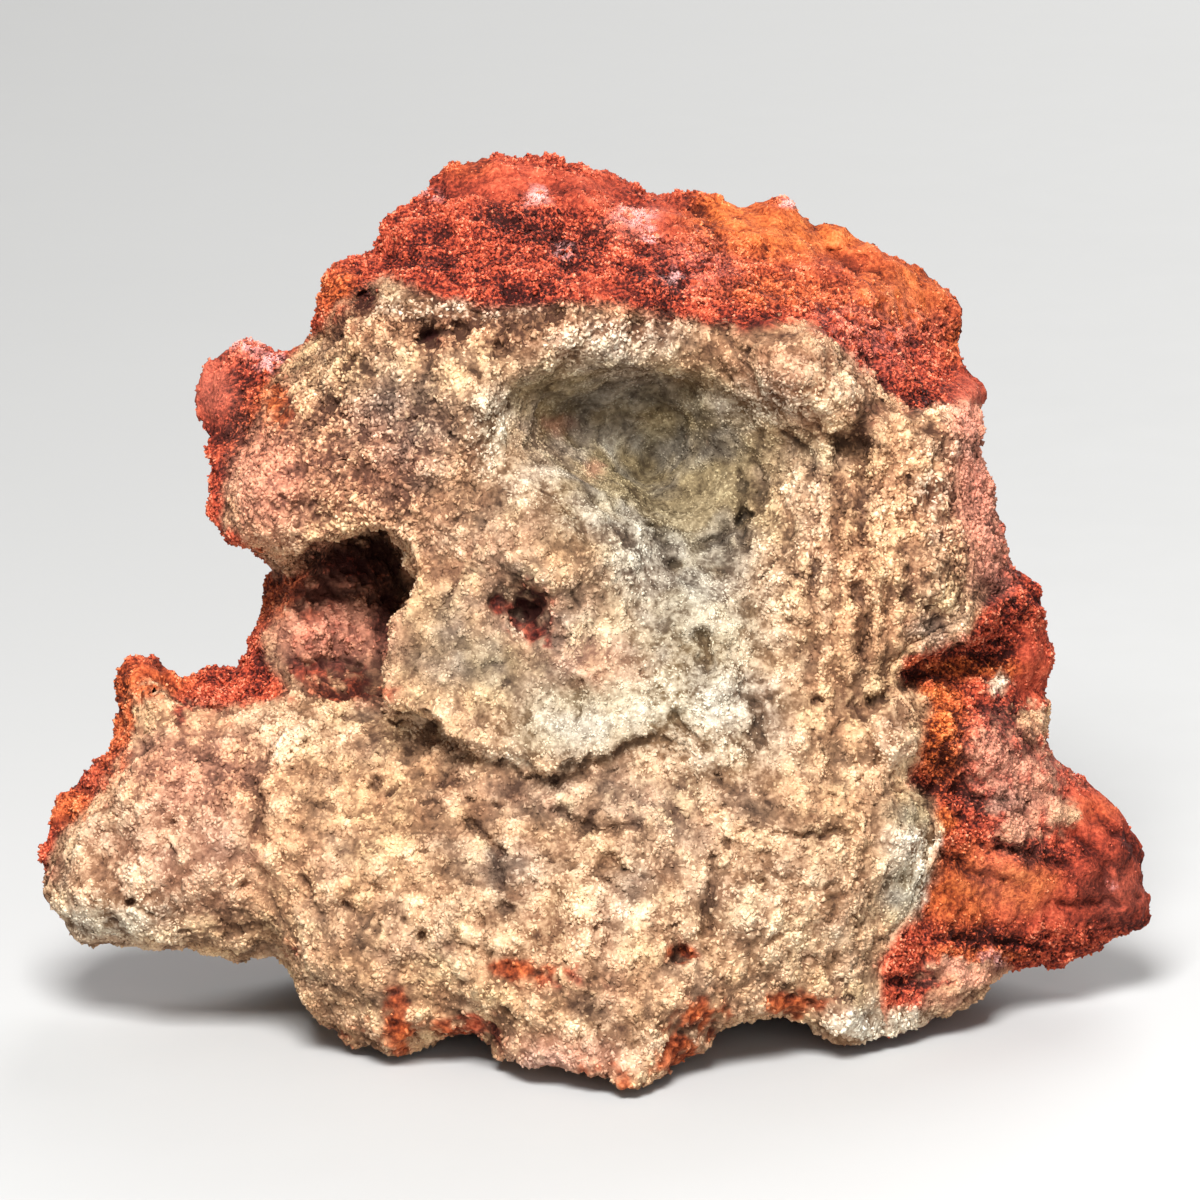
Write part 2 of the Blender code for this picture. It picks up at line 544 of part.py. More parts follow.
def keep_largest(obj):
    """Drops crumbs that a cut left loose."""
    bm = bmesh.new()
    bm.from_mesh(obj.data)
    left = set(bm.faces)
    bodies = []
    while left:
        body, queue = set(), [left.pop()]
        while queue:
            face = queue.pop()
            body.add(face)
            near = [f for edge in face.edges for f in edge.link_faces if f in left]
            left.difference_update(near)
            queue.extend(near)
        bodies.append(body)
    largest = max(bodies, key=lambda faces: sum(f.calc_area() for f in faces))
    loose = [f for body in bodies if body is not largest for f in body]
    bmesh.ops.delete(bm, geom=loose, context="FACES")
    bm.to_mesh(obj.data)
    bm.free()


def give_material(obj, name):
    colour, roughness = COLOURS[name]
    material = bpy.data.materials.new(name)
    material.use_nodes = True
    shader = material.node_tree.nodes["Principled BSDF"]
    shader.inputs["Base Color"].default_value = (*colour, 1)
    shader.inputs["Roughness"].default_value = roughness
    shader.inputs["Metallic"].default_value = 0
    obj.data.materials.clear()
    obj.data.materials.append(material)


def make_ground():
    """A slab whose top is the ground, to wear the feet flat."""
    bm = bmesh.new()
    bmesh.ops.create_cube(bm, size=1)
    bmesh.ops.scale(bm, vec=(0.3, 0.3, 0.02), verts=bm.verts)
    bmesh.ops.translate(bm, vec=(0, 0, -0.01), verts=bm.verts)
    mesh = bpy.data.meshes.new("ground")
    bm.to_mesh(mesh)
    bm.free()
    ground = bpy.data.objects.new("ground", mesh)
    bpy.context.scene.collection.objects.link(ground)
    return ground


def part_from_block(name, block, parting):
    piece = bpy.data.objects.new(name, block.data.copy())
    bpy.context.scene.collection.objects.link(piece)
    cut(piece, parting, "INTERSECT")
    keep_largest(piece)
    give_material(piece, name)
    return piece


def main():
    for obj in list(bpy.data.objects):
        bpy.data.objects.remove(obj, do_unlink=True)
    block = make_block()
    remesh(block)
    half_gap = CONTACT_GAP_MM / 2
    before = make_parting_block("before_contact", half_gap, BLOCK_REACH_MM)
    behind = make_parting_block("behind_contact", -half_gap, -BLOCK_REACH_MM)
    for obj in (block, before, behind):
        stand_up(obj)
    ground = make_ground()
    cut(block, ground, "DIFFERENCE")
    part_from_block("matrix", block, before)
    part_from_block("stilbite_crust", block, behind)
    for helper in (block, before, behind, ground):
        make_helper(helper)


main()
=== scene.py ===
"""Looks of the stilbite on matrix: fine relief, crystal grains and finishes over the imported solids.

The broken face is described in survey units: x to the right and y down as it is seen from the
camera, with heights towards the camera in millimetres. Meshes are in metres, in the row frame.
"""

from __future__ import annotations

import logging
import math
from dataclasses import dataclass, field
from enum import Enum
from typing import Sequence

import bpy
import numpy as np
from mathutils import Matrix, Vector
from mathutils.bvhtree import BVHTree


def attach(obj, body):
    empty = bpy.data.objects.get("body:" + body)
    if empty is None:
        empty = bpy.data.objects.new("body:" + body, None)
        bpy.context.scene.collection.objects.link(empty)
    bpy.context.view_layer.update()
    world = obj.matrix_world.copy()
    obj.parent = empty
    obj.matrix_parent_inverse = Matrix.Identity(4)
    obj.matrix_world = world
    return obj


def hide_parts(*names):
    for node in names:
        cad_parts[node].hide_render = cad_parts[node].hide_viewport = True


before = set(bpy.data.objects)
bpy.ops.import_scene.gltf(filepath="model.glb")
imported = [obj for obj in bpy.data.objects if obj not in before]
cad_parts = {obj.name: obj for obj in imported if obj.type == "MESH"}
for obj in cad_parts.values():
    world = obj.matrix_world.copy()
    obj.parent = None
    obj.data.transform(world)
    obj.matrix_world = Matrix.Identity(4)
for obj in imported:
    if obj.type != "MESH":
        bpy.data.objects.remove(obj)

LOG = logging.getLogger("stilbite_on_matrix")
MM = 0.001
GRADIENT_COUNT = 64

MIX_FIRST = 6    # the Mix node's socket for the first colour
MIX_SECOND = 7   # its socket for the second colour
MIX_RESULT = 2   # its output for a colour

Spots = Sequence[tuple[float, float, float, float, float]]
Bumps = Sequence[tuple[float, float, float, float]]
Path = Sequence[tuple[float, float]]
Colour = tuple[float, float, float]
Ramp = tuple[tuple[float, Colour], ...]


@dataclass(frozen=True)
class Survey:
    """The survey frame of the broken face, and how it stands in the row frame.

    Attributes:
        unit_mm: Millimetres for one survey unit.
        foot: Survey point at the middle of the foot line.
        centre: Survey point straight ahead of the camera.
        view_mm: Distance of the camera.
        lean_deg: How far the broken face leans back.
        ground_mm: How far the foot point lies below the ground.
        shift_mm: Move along Y that brings the form over the origin.
    """

    unit_mm: float = 0.09
    foot: tuple[float, float] = (596.0, 1098.0)
    centre: tuple[float, float] = (600.0, 600.0)
    view_mm: float = 1200.0
    lean_deg: float = 15.0
    ground_mm: float = 5.8
    shift_mm: float = -13.4

    def flat(self, units: np.ndarray) -> np.ndarray:
        """Turns survey units into millimetres right and up."""
        return (np.asarray(units, float) - self.foot) * (self.unit_mm, -self.unit_mm)

    def read(self, points: np.ndarray) -> tuple[np.ndarray, np.ndarray]:
        """Reads points of the row frame in the survey frame.

        Args:
            points: Points in metres.

        Returns:
            Survey units of each point, and its height in millimetres.
        """
        x, y, z = (points / MM).T
        lean = math.radians(self.lean_deg)
        y = y - self.shift_mm
        z = z + self.ground_mm
        up = y * math.sin(lean) + z * math.cos(lean)
        height = z * math.sin(lean) - y * math.cos(lean)
        middle = self.flat(np.array([self.centre]))[0]
        flat = np.column_stack([x, up])
        flat = middle + (flat - middle) / (1 - height / self.view_mm)[:, None]
        return flat / (self.unit_mm, -self.unit_mm) + self.foot, height

    def toward_camera(self) -> Vector:
        """Gives the direction from the face to the camera."""
        lean = math.radians(self.lean_deg)
        return Vector((0, -math.cos(lean), math.sin(lean)))

    def camera_place(self) -> Vector:
        """Finds where the camera stands.

        Returns:
            Its place in metres.
        """
        lean = math.radians(self.lean_deg)
        across, up = self.flat(np.array([self.centre]))[0]
        face = Vector((
            across,
            up * math.sin(lean) + self.shift_mm,
            up * math.cos(lean) - self.ground_mm,
        ))
        return (face + self.toward_camera() * self.view_mm) * MM


SURVEY = Survey()


def ease(t: np.ndarray) -> np.ndarray:
    """Gives a smooth step from 0 to 1 as t goes from 0 to 1."""
    t = np.clip(t, 0, 1)
    return t * t * (3 - 2 * t)


def cell_hash(cells: np.ndarray, seed: int) -> np.ndarray:
    """Gives a repeatable scrambled whole number for each lattice cell.

    Args:
        cells: Whole cell coordinates, one row for each point.
        seed: Picks the pattern.

    Returns:
        A number under 2**32 for each row.
    """
    mixed = cells[:, 0] * 73856093 ^ cells[:, 1] * 19349663 ^ cells[:, 2] * 83492791 ^ seed * 2654435
    mixed &= 0xFFFFFFFF
    for shift, factor in ((15, 0x2C1B3C6D), (12, 0x297A2D39)):
        mixed ^= mixed >> shift
        mixed = (mixed * factor) & 0xFFFFFFFF
    return mixed ^ (mixed >> 15)


def gradients() -> np.ndarray:
    """Gives the unit vectors that the noise slopes along."""
    vectors = np.random.default_rng(5).normal(size=(GRADIENT_COUNT, 3))
    return vectors / np.linalg.norm(vectors, axis=1, keepdims=True)


GRADIENTS = gradients()
ASKEW = np.array(Matrix.Rotation(0.9, 3, Vector((1, 2, 3)).normalized()))


def swell(points: np.ndarray, size: float, seed: int) -> np.ndarray:
    """Gives smooth noise, from about -1 to 1.

    Args:
        points: Points in millimetres.
        size: Wavelength in millimetres.
        seed: Picks the pattern.

    Returns:
        The noise at each point.
    """
    place = points @ ASKEW / size
    base = np.floor(place).astype(np.int64)
    part = place - base
    fade = part**3 * (part * (part * 6 - 15) + 10)
    total = np.zeros(len(points))
    for corner in np.ndindex(2, 2, 2):
        slope = GRADIENTS[cell_hash(base + corner, seed) % GRADIENT_COUNT]
        share = np.where(corner, fade, 1 - fade).prod(axis=1)
        total += share * (slope * (part - corner)).sum(axis=1)
    return total * 1.9


def pebbles(points: np.ndarray, size: float, seed: int) -> np.ndarray:
    """Gives packed rounded cells.

    Args:
        points: Points in millimetres.
        size: Size of a cell in millimetres.
        seed: Picks the pattern.

    Returns:
        Distance to the nearest cell centre, in cells.
    """
    place = points @ ASKEW / size
    base = np.floor(place).astype(np.int64)
    nearest = np.full(len(points), 9.0)
    for corner in np.ndindex(3, 3, 3):
        cell = base + np.array(corner) - 1
        mixed = cell_hash(cell, seed)
        jitter = np.column_stack([mixed & 1023, (mixed >> 10) & 1023, (mixed >> 20) & 1023]) / 1023
        nearest = np.minimum(nearest, ((cell + jitter - place) ** 2).sum(axis=1))
    return np.sqrt(nearest)


def to_path(points: np.ndarray, path: Path, closed: bool = False) -> tuple[np.ndarray, np.ndarray]:
    """Measures how far points lie from a path.

    Args:
        points: Flat points in survey units.
        path: Corners of the path in survey units.
        closed: Whether the last corner joins the first.

    Returns:
        Distance in survey units, and 1 for points left of travel or -1 for points right of it.
    """
    corners = np.array(list(path) + [path[0]] * closed, float)
    best = np.full(len(points), 1e9)
    side = np.ones(len(points))
    for start, end in zip(corners[:-1], corners[1:]):
        run = end - start
        t = np.clip((points - start) @ run / (run @ run), 0, 1)
        apart = points - start - t[:, None] * run
        distance = np.sqrt((apart**2).sum(axis=1))
        turn = run[1] * (points[:, 0] - start[0]) - run[0] * (points[:, 1] - start[1])
        closer = distance < best
        best = np.where(closer, distance, best)
        side = np.where(closer, np.where(turn > 0, 1, -1), side)
    return best, side


def inside(points: np.ndarray, path: Path) -> np.ndarray:
    """Tells which points lie inside a closed path.

    Args:
        points: Flat points in survey units.
        path: Corners of the path in survey units.

    Returns:
        Whether each point lies inside.
    """
    corners = np.array(path, float)
    found = np.zeros(len(points), bool)
    for (x0, y0), (x1, y1) in zip(corners, np.roll(corners, -1, axis=0)):
        crosses = (y0 > points[:, 1]) != (y1 > points[:, 1])
        at = x0 + (points[:, 1] - y0) * (x1 - x0) / ((y1 - y0) + 1e-9)
        found ^= crosses & (points[:, 0] < at)
    return found


def patches(points: np.ndarray, spots: Spots) -> np.ndarray:
    """Adds up soft oval patches.

    Args:
        points: Flat points in survey units.
        spots: Middle x and y, half width, half height and strength of each patch.

    Returns:
        The patches' strength at each point, from 0 to 1.
    """
    left = np.ones(len(points))
    for x, y, wide, high, strength in spots:
        near = ((points[:, 0] - x) / wide) ** 2 + ((points[:, 1] - y) / high) ** 2
        left *= 1 - strength * np.exp(-(near**1.5))
    return 1 - left


@dataclass(frozen=True)
class FaceMap:
    """Where each colour and form lies on the broken face, in survey units.

    Each patch is (middle x, middle y, half width, half height, strength), and each lump or pit is
    (middle x, middle y, radius, height or depth in millimetres).

    Attributes:
        crust_edge: Edge of the crust.
        green: Grey-green haze of the hollow.
        ash: Greyer grains.
        pale: Bleached grains, and painted light under the hollow's top-right rim.
        tan: Browner grains.
        pink: Pink grains.
        stain: Rust on the matrix.
        bare: Parts of the crust that show pale grains.
        maroon: Dark red pockets, and painted shade in crevices, under the right lobe and in the cave.
        orange: Yellower crust.
        dust: Smooth dusty crust.
        crisp: Coarser speckle.
        dim: Darker grains, and painted shade in crevices, under ledges and in the cave.
        glints: Larger crystals, with their glints painted in.
        cave: Walls of the cave, which are rusty and carry painted shade.
        cracks: Cracks in the face.
        ridges: Small crests on the face.
        lumps: Lumps on the face.
        pits: Pits in the face.
        shelf_lip: Lip of the overhanging shelf.
        flutes: Fluted part of the column.
        crack_width: Width of a crack.
        crest_width: Width of a ridge.
        lip_width: Width of the lip.
        flute_width: Distance from one flute to the next.
        crack_mm: Depth of a crack.
        crest_mm: Height of a ridge.
        lip_rise_mm: How far the lip stands out.
        lip_drop_mm: How far the rock falls away under the lip.
        flute_mm: Height of a flute over its middle.
        blur_power: How flat the middle of a lump or pit is.
    """

    crust_edge: Path = (
        (290, 700), (262, 640), (285, 600), (268, 560), (222, 520), (226, 486), (238, 458), (252, 428),
        (266, 396), (282, 366), (312, 338), (338, 306), (384, 276), (406, 284), (432, 300), (480, 306),
        (540, 308), (600, 304), (650, 312), (692, 322), (722, 328), (762, 330), (800, 322), (830, 336),
        (852, 356), (872, 376), (888, 398), (912, 414), (946, 404), (968, 402), (980, 430), (972, 470),
        (978, 520), (992, 560), (986, 600), (962, 640), (905, 656), (896, 680), (930, 694), (922, 740),
        (908, 788), (936, 800), (942, 832), (934, 870), (918, 912), (888, 948), (878, 964), (880, 1008),
        (902, 1020), (930, 1000), (962, 984), (1000, 964), (1060, 1010), (1250, 1000), (1250, 50),
        (60, 50), (-60, 600), (-60, 870), (50, 870), (62, 838), (96, 800), (120, 762), (128, 700),
        (150, 668), (176, 700), (210, 708), (250, 700),
    )
    green: Spots = (
        (640, 465, 120, 85, 1.0), (705, 445, 80, 60, 0.85), (560, 405, 65, 40, 0.7),
        (620, 395, 95, 30, 0.8), (700, 525, 75, 60, 0.8), (825, 450, 36, 30, 0.3),
        (600, 712, 100, 36, 0.75), (560, 742, 60, 26, 0.6), (690, 640, 60, 70, 0.6),
        (432, 650, 42, 55, 0.45), (912, 815, 26, 22, 0.8), (902, 890, 26, 36, 0.85),
        (110, 920, 60, 20, 0.5), (680, 610, 90, 110, 0.55), (740, 720, 60, 60, 0.5),
        (492, 662, 44, 26, 0.7), (870, 1010, 16, 30, 0.5),
    )
    ash: Spots = (
        (405, 425, 64, 58, 0.85), (930, 632, 22, 22, 0.8), (480, 560, 60, 40, 0.4),
        (620, 345, 70, 20, 0.5), (540, 640, 110, 60, 0.6), (580, 800, 120, 24, 0.5),
        (660, 560, 50, 60, 0.5), (505, 870, 32, 26, 0.6), (540, 1064, 44, 14, 0.7),
        (640, 900, 34, 34, 0.35), (936, 532, 12, 16, 0.7), (960, 452, 30, 12, 0.6),
        (880, 1036, 20, 12, 0.5), (700, 820, 60, 30, 0.3), (200, 850, 50, 30, 0.3),
        (1005, 800, 22, 14, 0.9), (820, 560, 20, 60, 0.4),
    )
    # Bleached grains; the patch under the hollow's top-right rim is painted light.
    pale: Spots = (
        (562, 502, 62, 20, 0.15), (490, 432, 22, 46, 0.75), (602, 518, 50, 18, 0.25),
        (585, 728, 100, 44, 0.45), (700, 640, 90, 100, 0.45), (530, 482, 38, 22, 0.35),
        (592, 522, 42, 24, 0.3), (632, 562, 28, 30, 0.4), (760, 402, 60, 22, 0.5),
        (720, 745, 80, 50, 0.4), (470, 312, 100, 9, 0.55), (650, 330, 60, 12, 0.4),
        (700, 700, 70, 28, 0.55), (822, 378, 62, 40, 0.20), (110, 916, 62, 24, 0.6),
        (862, 1026, 42, 15, 0.9), (912, 1020, 22, 16, 0.9), (918, 842, 34, 12, 0.95),
        (922, 880, 14, 34, 0.95), (905, 870, 26, 50, 0.45), (600, 350, 80, 24, 0.4),
        (560, 900, 150, 80, 0.2), (150, 860, 100, 60, 0.3), (590, 1050, 80, 30, 0.3),
        (780, 900, 90, 80, 0.25), (892, 742, 24, 34, 0.25), (300, 730, 50, 30, 0.20),
        (932, 492, 14, 18, 0.8), (1000, 684, 12, 16, 0.7), (416, 305, 40, 14, 0.4),
    )
    tan: Spots = (
        (330, 470, 110, 70, 0.6), (270, 450, 34, 70, 0.75), (870, 560, 80, 130, 0.4),
        (940, 480, 45, 70, 0.4), (200, 830, 120, 60, 0.1), (640, 1060, 90, 40, 0.15),
        (450, 560, 60, 40, 0.35), (330, 640, 60, 50, 0.7), (460, 800, 90, 30, 0.2),
        (900, 960, 40, 40, 0.2), (345, 310, 40, 24, 0.6), (560, 930, 60, 30, 0.4),
        (912, 510, 20, 14, 0.5), (1036, 724, 20, 24, 0.7), (800, 700, 40, 50, 0.3),
        (790, 375, 90, 50, 0.8), (262, 460, 26, 70, 0.9), (335, 310, 34, 30, 0.6),
        (500, 330, 160, 24, 0.7), (560, 500, 70, 24, 0.25), (892, 742, 26, 36, 0.4),
    )
    pink: Spots = (
        (972, 420, 24, 24, 0.9), (978, 490, 30, 54, 1.0), (994, 556, 24, 42, 0.9),
        (212, 385, 26, 34, 0.5), (556, 426, 18, 10, 0.35), (592, 470, 12, 8, 0.3),
        (600, 662, 50, 24, 0.2), (250, 470, 24, 60, 0.3), (992, 755, 30, 40, 0.8),
        (1014, 832, 22, 18, 0.6), (560, 1060, 60, 24, 0.4), (962, 972, 40, 14, 0.7),
        (350, 470, 90, 60, 0.15), (190, 860, 110, 50, 0.2), (190, 770, 80, 50, 0.4),
        (325, 620, 60, 44, 0.6), (270, 490, 40, 60, 0.4), (940, 1000, 30, 10, 0.4),
        (250, 346, 20, 14, 0.6), (630, 225, 26, 16, 0.6), (535, 198, 12, 8, 0.6),
        (1120, 890, 30, 26, 0.25), (1000, 880, 44, 30, 0.35), (340, 640, 40, 26, 0.4),
        (1028, 786, 42, 48, 0.7),
    )
    stain: Spots = (
        (526, 608, 24, 24, 1.0), (504, 604, 16, 7, 0.9), (538, 632, 11, 18, 0.95),
        (296, 592, 44, 28, 0.95), (400, 1024, 15, 44, 1.0), (458, 1026, 32, 14, 1.0),
        (518, 972, 34, 14, 0.9), (706, 1012, 22, 16, 0.9), (784, 1004, 16, 20, 0.75),
        (684, 1060, 26, 36, 1.0), (497, 1046, 10, 26, 0.7), (148, 674, 46, 24, 1.0),
        (120, 716, 18, 60, 1.0), (218, 688, 40, 32, 1.0), (184, 706, 10, 26, 0.9),
        (70, 806, 24, 16, 0.85), (45, 850, 10, 34, 0.8), (350, 1034, 44, 20, 0.35),
        (590, 1078, 90, 18, 0.45), (700, 1030, 26, 34, 0.6), (800, 1002, 36, 14, 0.6),
        (300, 950, 24, 16, 0.35), (682, 952, 16, 9, 0.95), (262, 440, 12, 30, 0.3),
        (948, 745, 24, 48, 0.95), (958, 664, 54, 16, 0.95), (366, 295, 12, 12, 1.0),
        (432, 337, 14, 10, 0.9), (660, 316, 16, 8, 0.7), (640, 1092, 44, 10, 0.7),
        (560, 978, 30, 16, 0.35), (600, 985, 60, 20, 0.2), (252, 630, 10, 40, 0.8),
        (278, 406, 17, 27, 0.8), (334, 300, 26, 30, 0.5), (1010, 585, 30, 24, 0.9),
        (320, 668, 44, 10, 0.85), (350, 690, 46, 18, 0.95), (870, 412, 16, 14, 0.4),
        (325, 640, 54, 34, 0.38),
    )
    bare: Spots = (
        (992, 755, 26, 36, 0.5), (1034, 722, 20, 22, 0.85), (1014, 832, 20, 16, 0.65),
        (1064, 812, 18, 12, 0.65), (964, 972, 38, 12, 0.95), (950, 998, 28, 12, 0.9),
        (912, 1022, 22, 16, 0.95), (1000, 684, 12, 16, 0.7), (1005, 800, 20, 12, 0.5),
        (1036, 788, 38, 44, 0.52), (980, 490, 24, 62, 0.6), (998, 556, 18, 30, 0.55),
        (974, 420, 18, 18, 0.6),
    )
    # Dark red crust in pockets, with painted shade in crevices and under the right lobe.
    maroon: Spots = (
        (524, 602, 18, 18, 0.8), (366, 295, 12, 12, 1.0), (432, 337, 14, 10, 0.9),
        (522, 228, 44, 24, 0.9), (340, 690, 30, 12, 0.8), (580, 250, 28, 18, 0.9),
        (925, 400, 20, 16, 1.0), (986, 582, 16, 12, 1.0), (1020, 608, 18, 14, 0.9),
        (990, 652, 42, 14, 1.0), (930, 676, 30, 5, 0.7), (932, 786, 24, 10, 0.9),
        (968, 800, 12, 12, 0.8), (990, 942, 48, 8, 1.0), (914, 980, 26, 6, 0.7),
        (1036, 854, 42, 9, 0.9), (450, 268, 60, 14, 0.45), (530, 292, 36, 12, 0.7),
        (660, 286, 36, 16, 0.75), (236, 424, 14, 30, 0.8), (1120, 926, 36, 10, 0.8),
        (1010, 712, 18, 10, 0.8), (1130, 850, 20, 8, 0.6), (956, 862, 12, 8, 0.3),
        (942, 748, 22, 44, 0.65), (1118, 888, 44, 44, 0.3), (690, 330, 20, 8, 0.5),
        (420, 235, 20, 16, 0.4),
    )
    orange: Spots = (
        (815, 232, 110, 32, 1.0), (730, 214, 44, 20, 1.0), (905, 290, 56, 36, 0.9),
        (940, 735, 26, 50, 0.95), (944, 820, 14, 12, 0.95), (336, 290, 24, 22, 0.6),
        (150, 680, 40, 22, 0.6), (70, 810, 30, 20, 0.6), (962, 890, 44, 40, 1.0),
        (1020, 885, 34, 26, 1.0), (780, 290, 70, 18, 0.4), (975, 668, 60, 10, 0.8),
        (920, 690, 34, 8, 0.9), (276, 405, 16, 24, 0.9), (470, 170, 30, 12, 0.4),
        (980, 955, 50, 8, 0.6), (1100, 810, 30, 16, 0.5), (960, 340, 20, 20, 0.5),
        (400, 1020, 60, 46, 0.65), (590, 1070, 110, 40, 0.6), (700, 1020, 50, 60, 0.6),
        (518, 972, 40, 20, 0.7), (790, 1004, 50, 20, 0.7), (680, 955, 20, 12, 0.7),
        (290, 600, 40, 34, 0.5), (345, 690, 60, 20, 0.3), (120, 730, 30, 50, 0.5),
        (262, 450, 30, 50, 0.7),
    )
    dust: Spots = (
        (208, 395, 26, 44, 0.7), (500, 180, 66, 22, 0.7), (590, 186, 38, 18, 0.65),
        (665, 215, 36, 20, 0.75), (975, 392, 24, 28, 0.95), (1032, 668, 20, 36, 0.9),
        (1100, 812, 48, 26, 1.0), (1118, 885, 56, 52, 1.0), (800, 222, 90, 22, 0.8),
        (850, 250, 80, 30, 0.7), (910, 290, 50, 30, 0.7), (1045, 770, 26, 30, 0.6),
        (1010, 890, 50, 34, 0.75), (950, 895, 30, 34, 0.5), (600, 285, 30, 8, 0.3),
        (60, 820, 14, 20, 0.5), (290, 352, 14, 8, 0.5), (1060, 910, 40, 20, 0.7),
        (740, 212, 30, 16, 0.7), (150, 672, 30, 14, 0.5), (502, 450, 28, 30, 0.7),
        (556, 490, 46, 22, 0.8), (610, 518, 38, 24, 0.8),
    )
    crisp: Spots = (
        (340, 450, 130, 100, 1.0), (520, 320, 180, 34, 0.9), (955, 500, 60, 130, 0.9),
        (820, 530, 80, 110, 0.5), (330, 600, 60, 60, 0.6), (990, 760, 50, 70, 0.7),
        (640, 540, 60, 60, 0.3), (200, 770, 90, 50, 0.5),
    )
    # Painted shade: most of these patches darken crevices, the rock under the shelf lip and the cave
    # lump; the rest are darker grains.
    dim: Spots = (
        (335, 645, 62, 48, 0.85), (410, 422, 50, 45, 0.60), (190, 770, 80, 50, 0.45),
        (350, 450, 125, 95, 1.0), (500, 322, 190, 24, 0.60), (470, 590, 50, 26, 0.30),
        (900, 660, 50, 16, 0.50), (985, 800, 26, 12, 0.80), (1005, 845, 50, 10, 0.70),
        (580, 690, 60, 14, 0.20), (870, 440, 30, 24, 0.50), (1036, 780, 44, 48, 0.8),
        (984, 505, 34, 80, 1.0), (996, 560, 30, 40, 0.8), (690, 440, 40, 20, 0.30),
        (200, 760, 60, 24, 0.35), (420, 750, 40, 14, 0.50), (990, 755, 40, 44, 0.9),
        (345, 690, 44, 14, 0.80), (1118, 885, 52, 50, 0.6), (570, 500, 60, 24, 0.30),
        (560, 840, 120, 60, 0.15), (820, 380, 60, 40, 0.20),
    )
    # Larger crystals; the pale pink on them is partly painted glint.
    glints: Spots = (
        (248, 340, 15, 10, 1.0), (268, 361, 12, 11, 1.0), (535, 197, 11, 8, 1.0),
        (638, 218, 20, 10, 0.8), (650, 236, 8, 6, 1.0), (673, 275, 9, 7, 0.9), (788, 200, 8, 6, 1.0),
        (432, 196, 8, 6, 0.6), (984, 430, 10, 8, 0.9), (1108, 884, 5, 4, 1.0), (990, 962, 12, 8, 0.8),
        (1000, 686, 8, 10, 0.8), (566, 250, 10, 8, 0.5), (1018, 830, 8, 8, 0.6),
        (700, 262, 40, 30, 0.12), (880, 330, 60, 40, 0.12),
    )
    cave: Spots = ((352, 565, 56, 30, 1.0), (386, 620, 20, 56, 0.95), (378, 700, 24, 16, 0.7))
    cracks: tuple[Path, ...] = (
        ((633, 492), (631, 520), (628, 548)), ((672, 714), (690, 732), (706, 750)),
        ((754, 700), (758, 720), (763, 744)), ((778, 832), (815, 836), (852, 832)),
        ((716, 858), (708, 892), (705, 934)), ((757, 466), (759, 512)), ((745, 514), (746, 548)),
        ((818, 424), (836, 440), (864, 452), (862, 476)),
        ((874, 702), (902, 686), (930, 676), (946, 682)), ((700, 636), (708, 652), (704, 668)),
        ((560, 812), (600, 830), (640, 826)), ((470, 820), (500, 850), (498, 884)),
        ((240, 772), (262, 800), (258, 836)), ((850, 585), (868, 610), (862, 650)),
        ((905, 690), (918, 672), (950, 678), (958, 692)), ((872, 702), (872, 730), (878, 762)),
        ((960, 942), (1000, 940), (1036, 946)), ((896, 982), (934, 976)),
        ((1092, 806), (1112, 832), (1130, 846), (1146, 868)), ((1078, 830), (1100, 858), (1108, 890)),
        ((1060, 905), (1100, 905), (1140, 898)), ((940, 850), (970, 872), (1000, 880)),
        ((985, 705), (1010, 725), (1030, 750)), ((962, 790), (985, 800), (1010, 798)),
        ((1000, 846), (1034, 852), (1070, 866)), ((560, 232), (566, 252), (572, 268)),
        ((640, 244), (664, 262)), ((700, 205), (720, 240), (726, 262)), ((742, 470), (744, 520)),
        ((655, 528), (662, 545)), ((700, 548), (722, 540), (746, 520)),
        ((836, 246), (850, 262), (880, 268)),
        ((384, 256), (400, 262), (440, 262)), ((296, 600), (330, 590), (370, 600)),
        ((300, 664), (330, 668), (356, 662)),
    )
    ridges: tuple[Path, ...] = (
        ((298, 908), (345, 892), (402, 850)), ((480, 400), (502, 432), (522, 452), (546, 480)),
        ((486, 412), (516, 448), (556, 484), (600, 497), (632, 511), (636, 548)),
        ((560, 482), (600, 490), (632, 506)), ((250, 860), (290, 848), (330, 812)),
        ((400, 950), (450, 920), (476, 880)), ((560, 880), (590, 930), (580, 980)),
        ((300, 400), (276, 440), (262, 490)), ((700, 590), (722, 640), (716, 690)),
        ((640, 1010), (652, 1040), (640, 1076)), ((880, 450), (886, 520), (880, 590)),
        ((890, 842), (920, 838), (944, 832)), ((300, 634), (340, 630), (376, 640)),
        ((905, 655), (940, 650), (958, 642)), ((280, 690), (320, 682), (350, 686)),
    )
    lumps: Bumps = (
        (892, 742, 22, 0.7), (945, 742, 20, 0.5), (990, 750, 22, 1.0), (1036, 724, 14, 1.2),
        (1022, 600, 16, 1.2), (1014, 832, 13, 0.8), (1066, 812, 14, 0.8), (1046, 768, 20, 0.7),
        (1030, 668, 16, 0.9), (975, 392, 15, 0.6), (630, 225, 14, 0.8), (668, 214, 17, 0.9),
        (590, 188, 18, 0.7), (512, 180, 20, 0.6), (736, 212, 15, 1.0), (790, 206, 15, 0.9),
        (836, 230, 14, 0.8), (880, 262, 16, 0.9), (926, 292, 15, 0.9), (706, 282, 14, 0.7),
        (856, 330, 16, 0.7), (460, 215, 18, 0.6), (812, 262, 18, 0.7), (248, 346, 10, 0.6),
        (206, 400, 18, 0.5), (150, 694, 22, 0.6), (216, 694, 20, 0.7), (286, 742, 22, 0.7),
        (540, 730, 18, 0.6), (590, 722, 18, 0.6), (640, 702, 20, 0.5), (700, 700, 16, 0.6),
        (924, 838, 14, 0.4), (1100, 812, 22, 0.5), (1128, 900, 20, 0.5), (792, 372, 20, 0.5),
        (846, 392, 18, 0.5), (320, 640, 22, 0.6), (366, 634, 14, 0.5), (960, 420, 16, 0.6),
    )
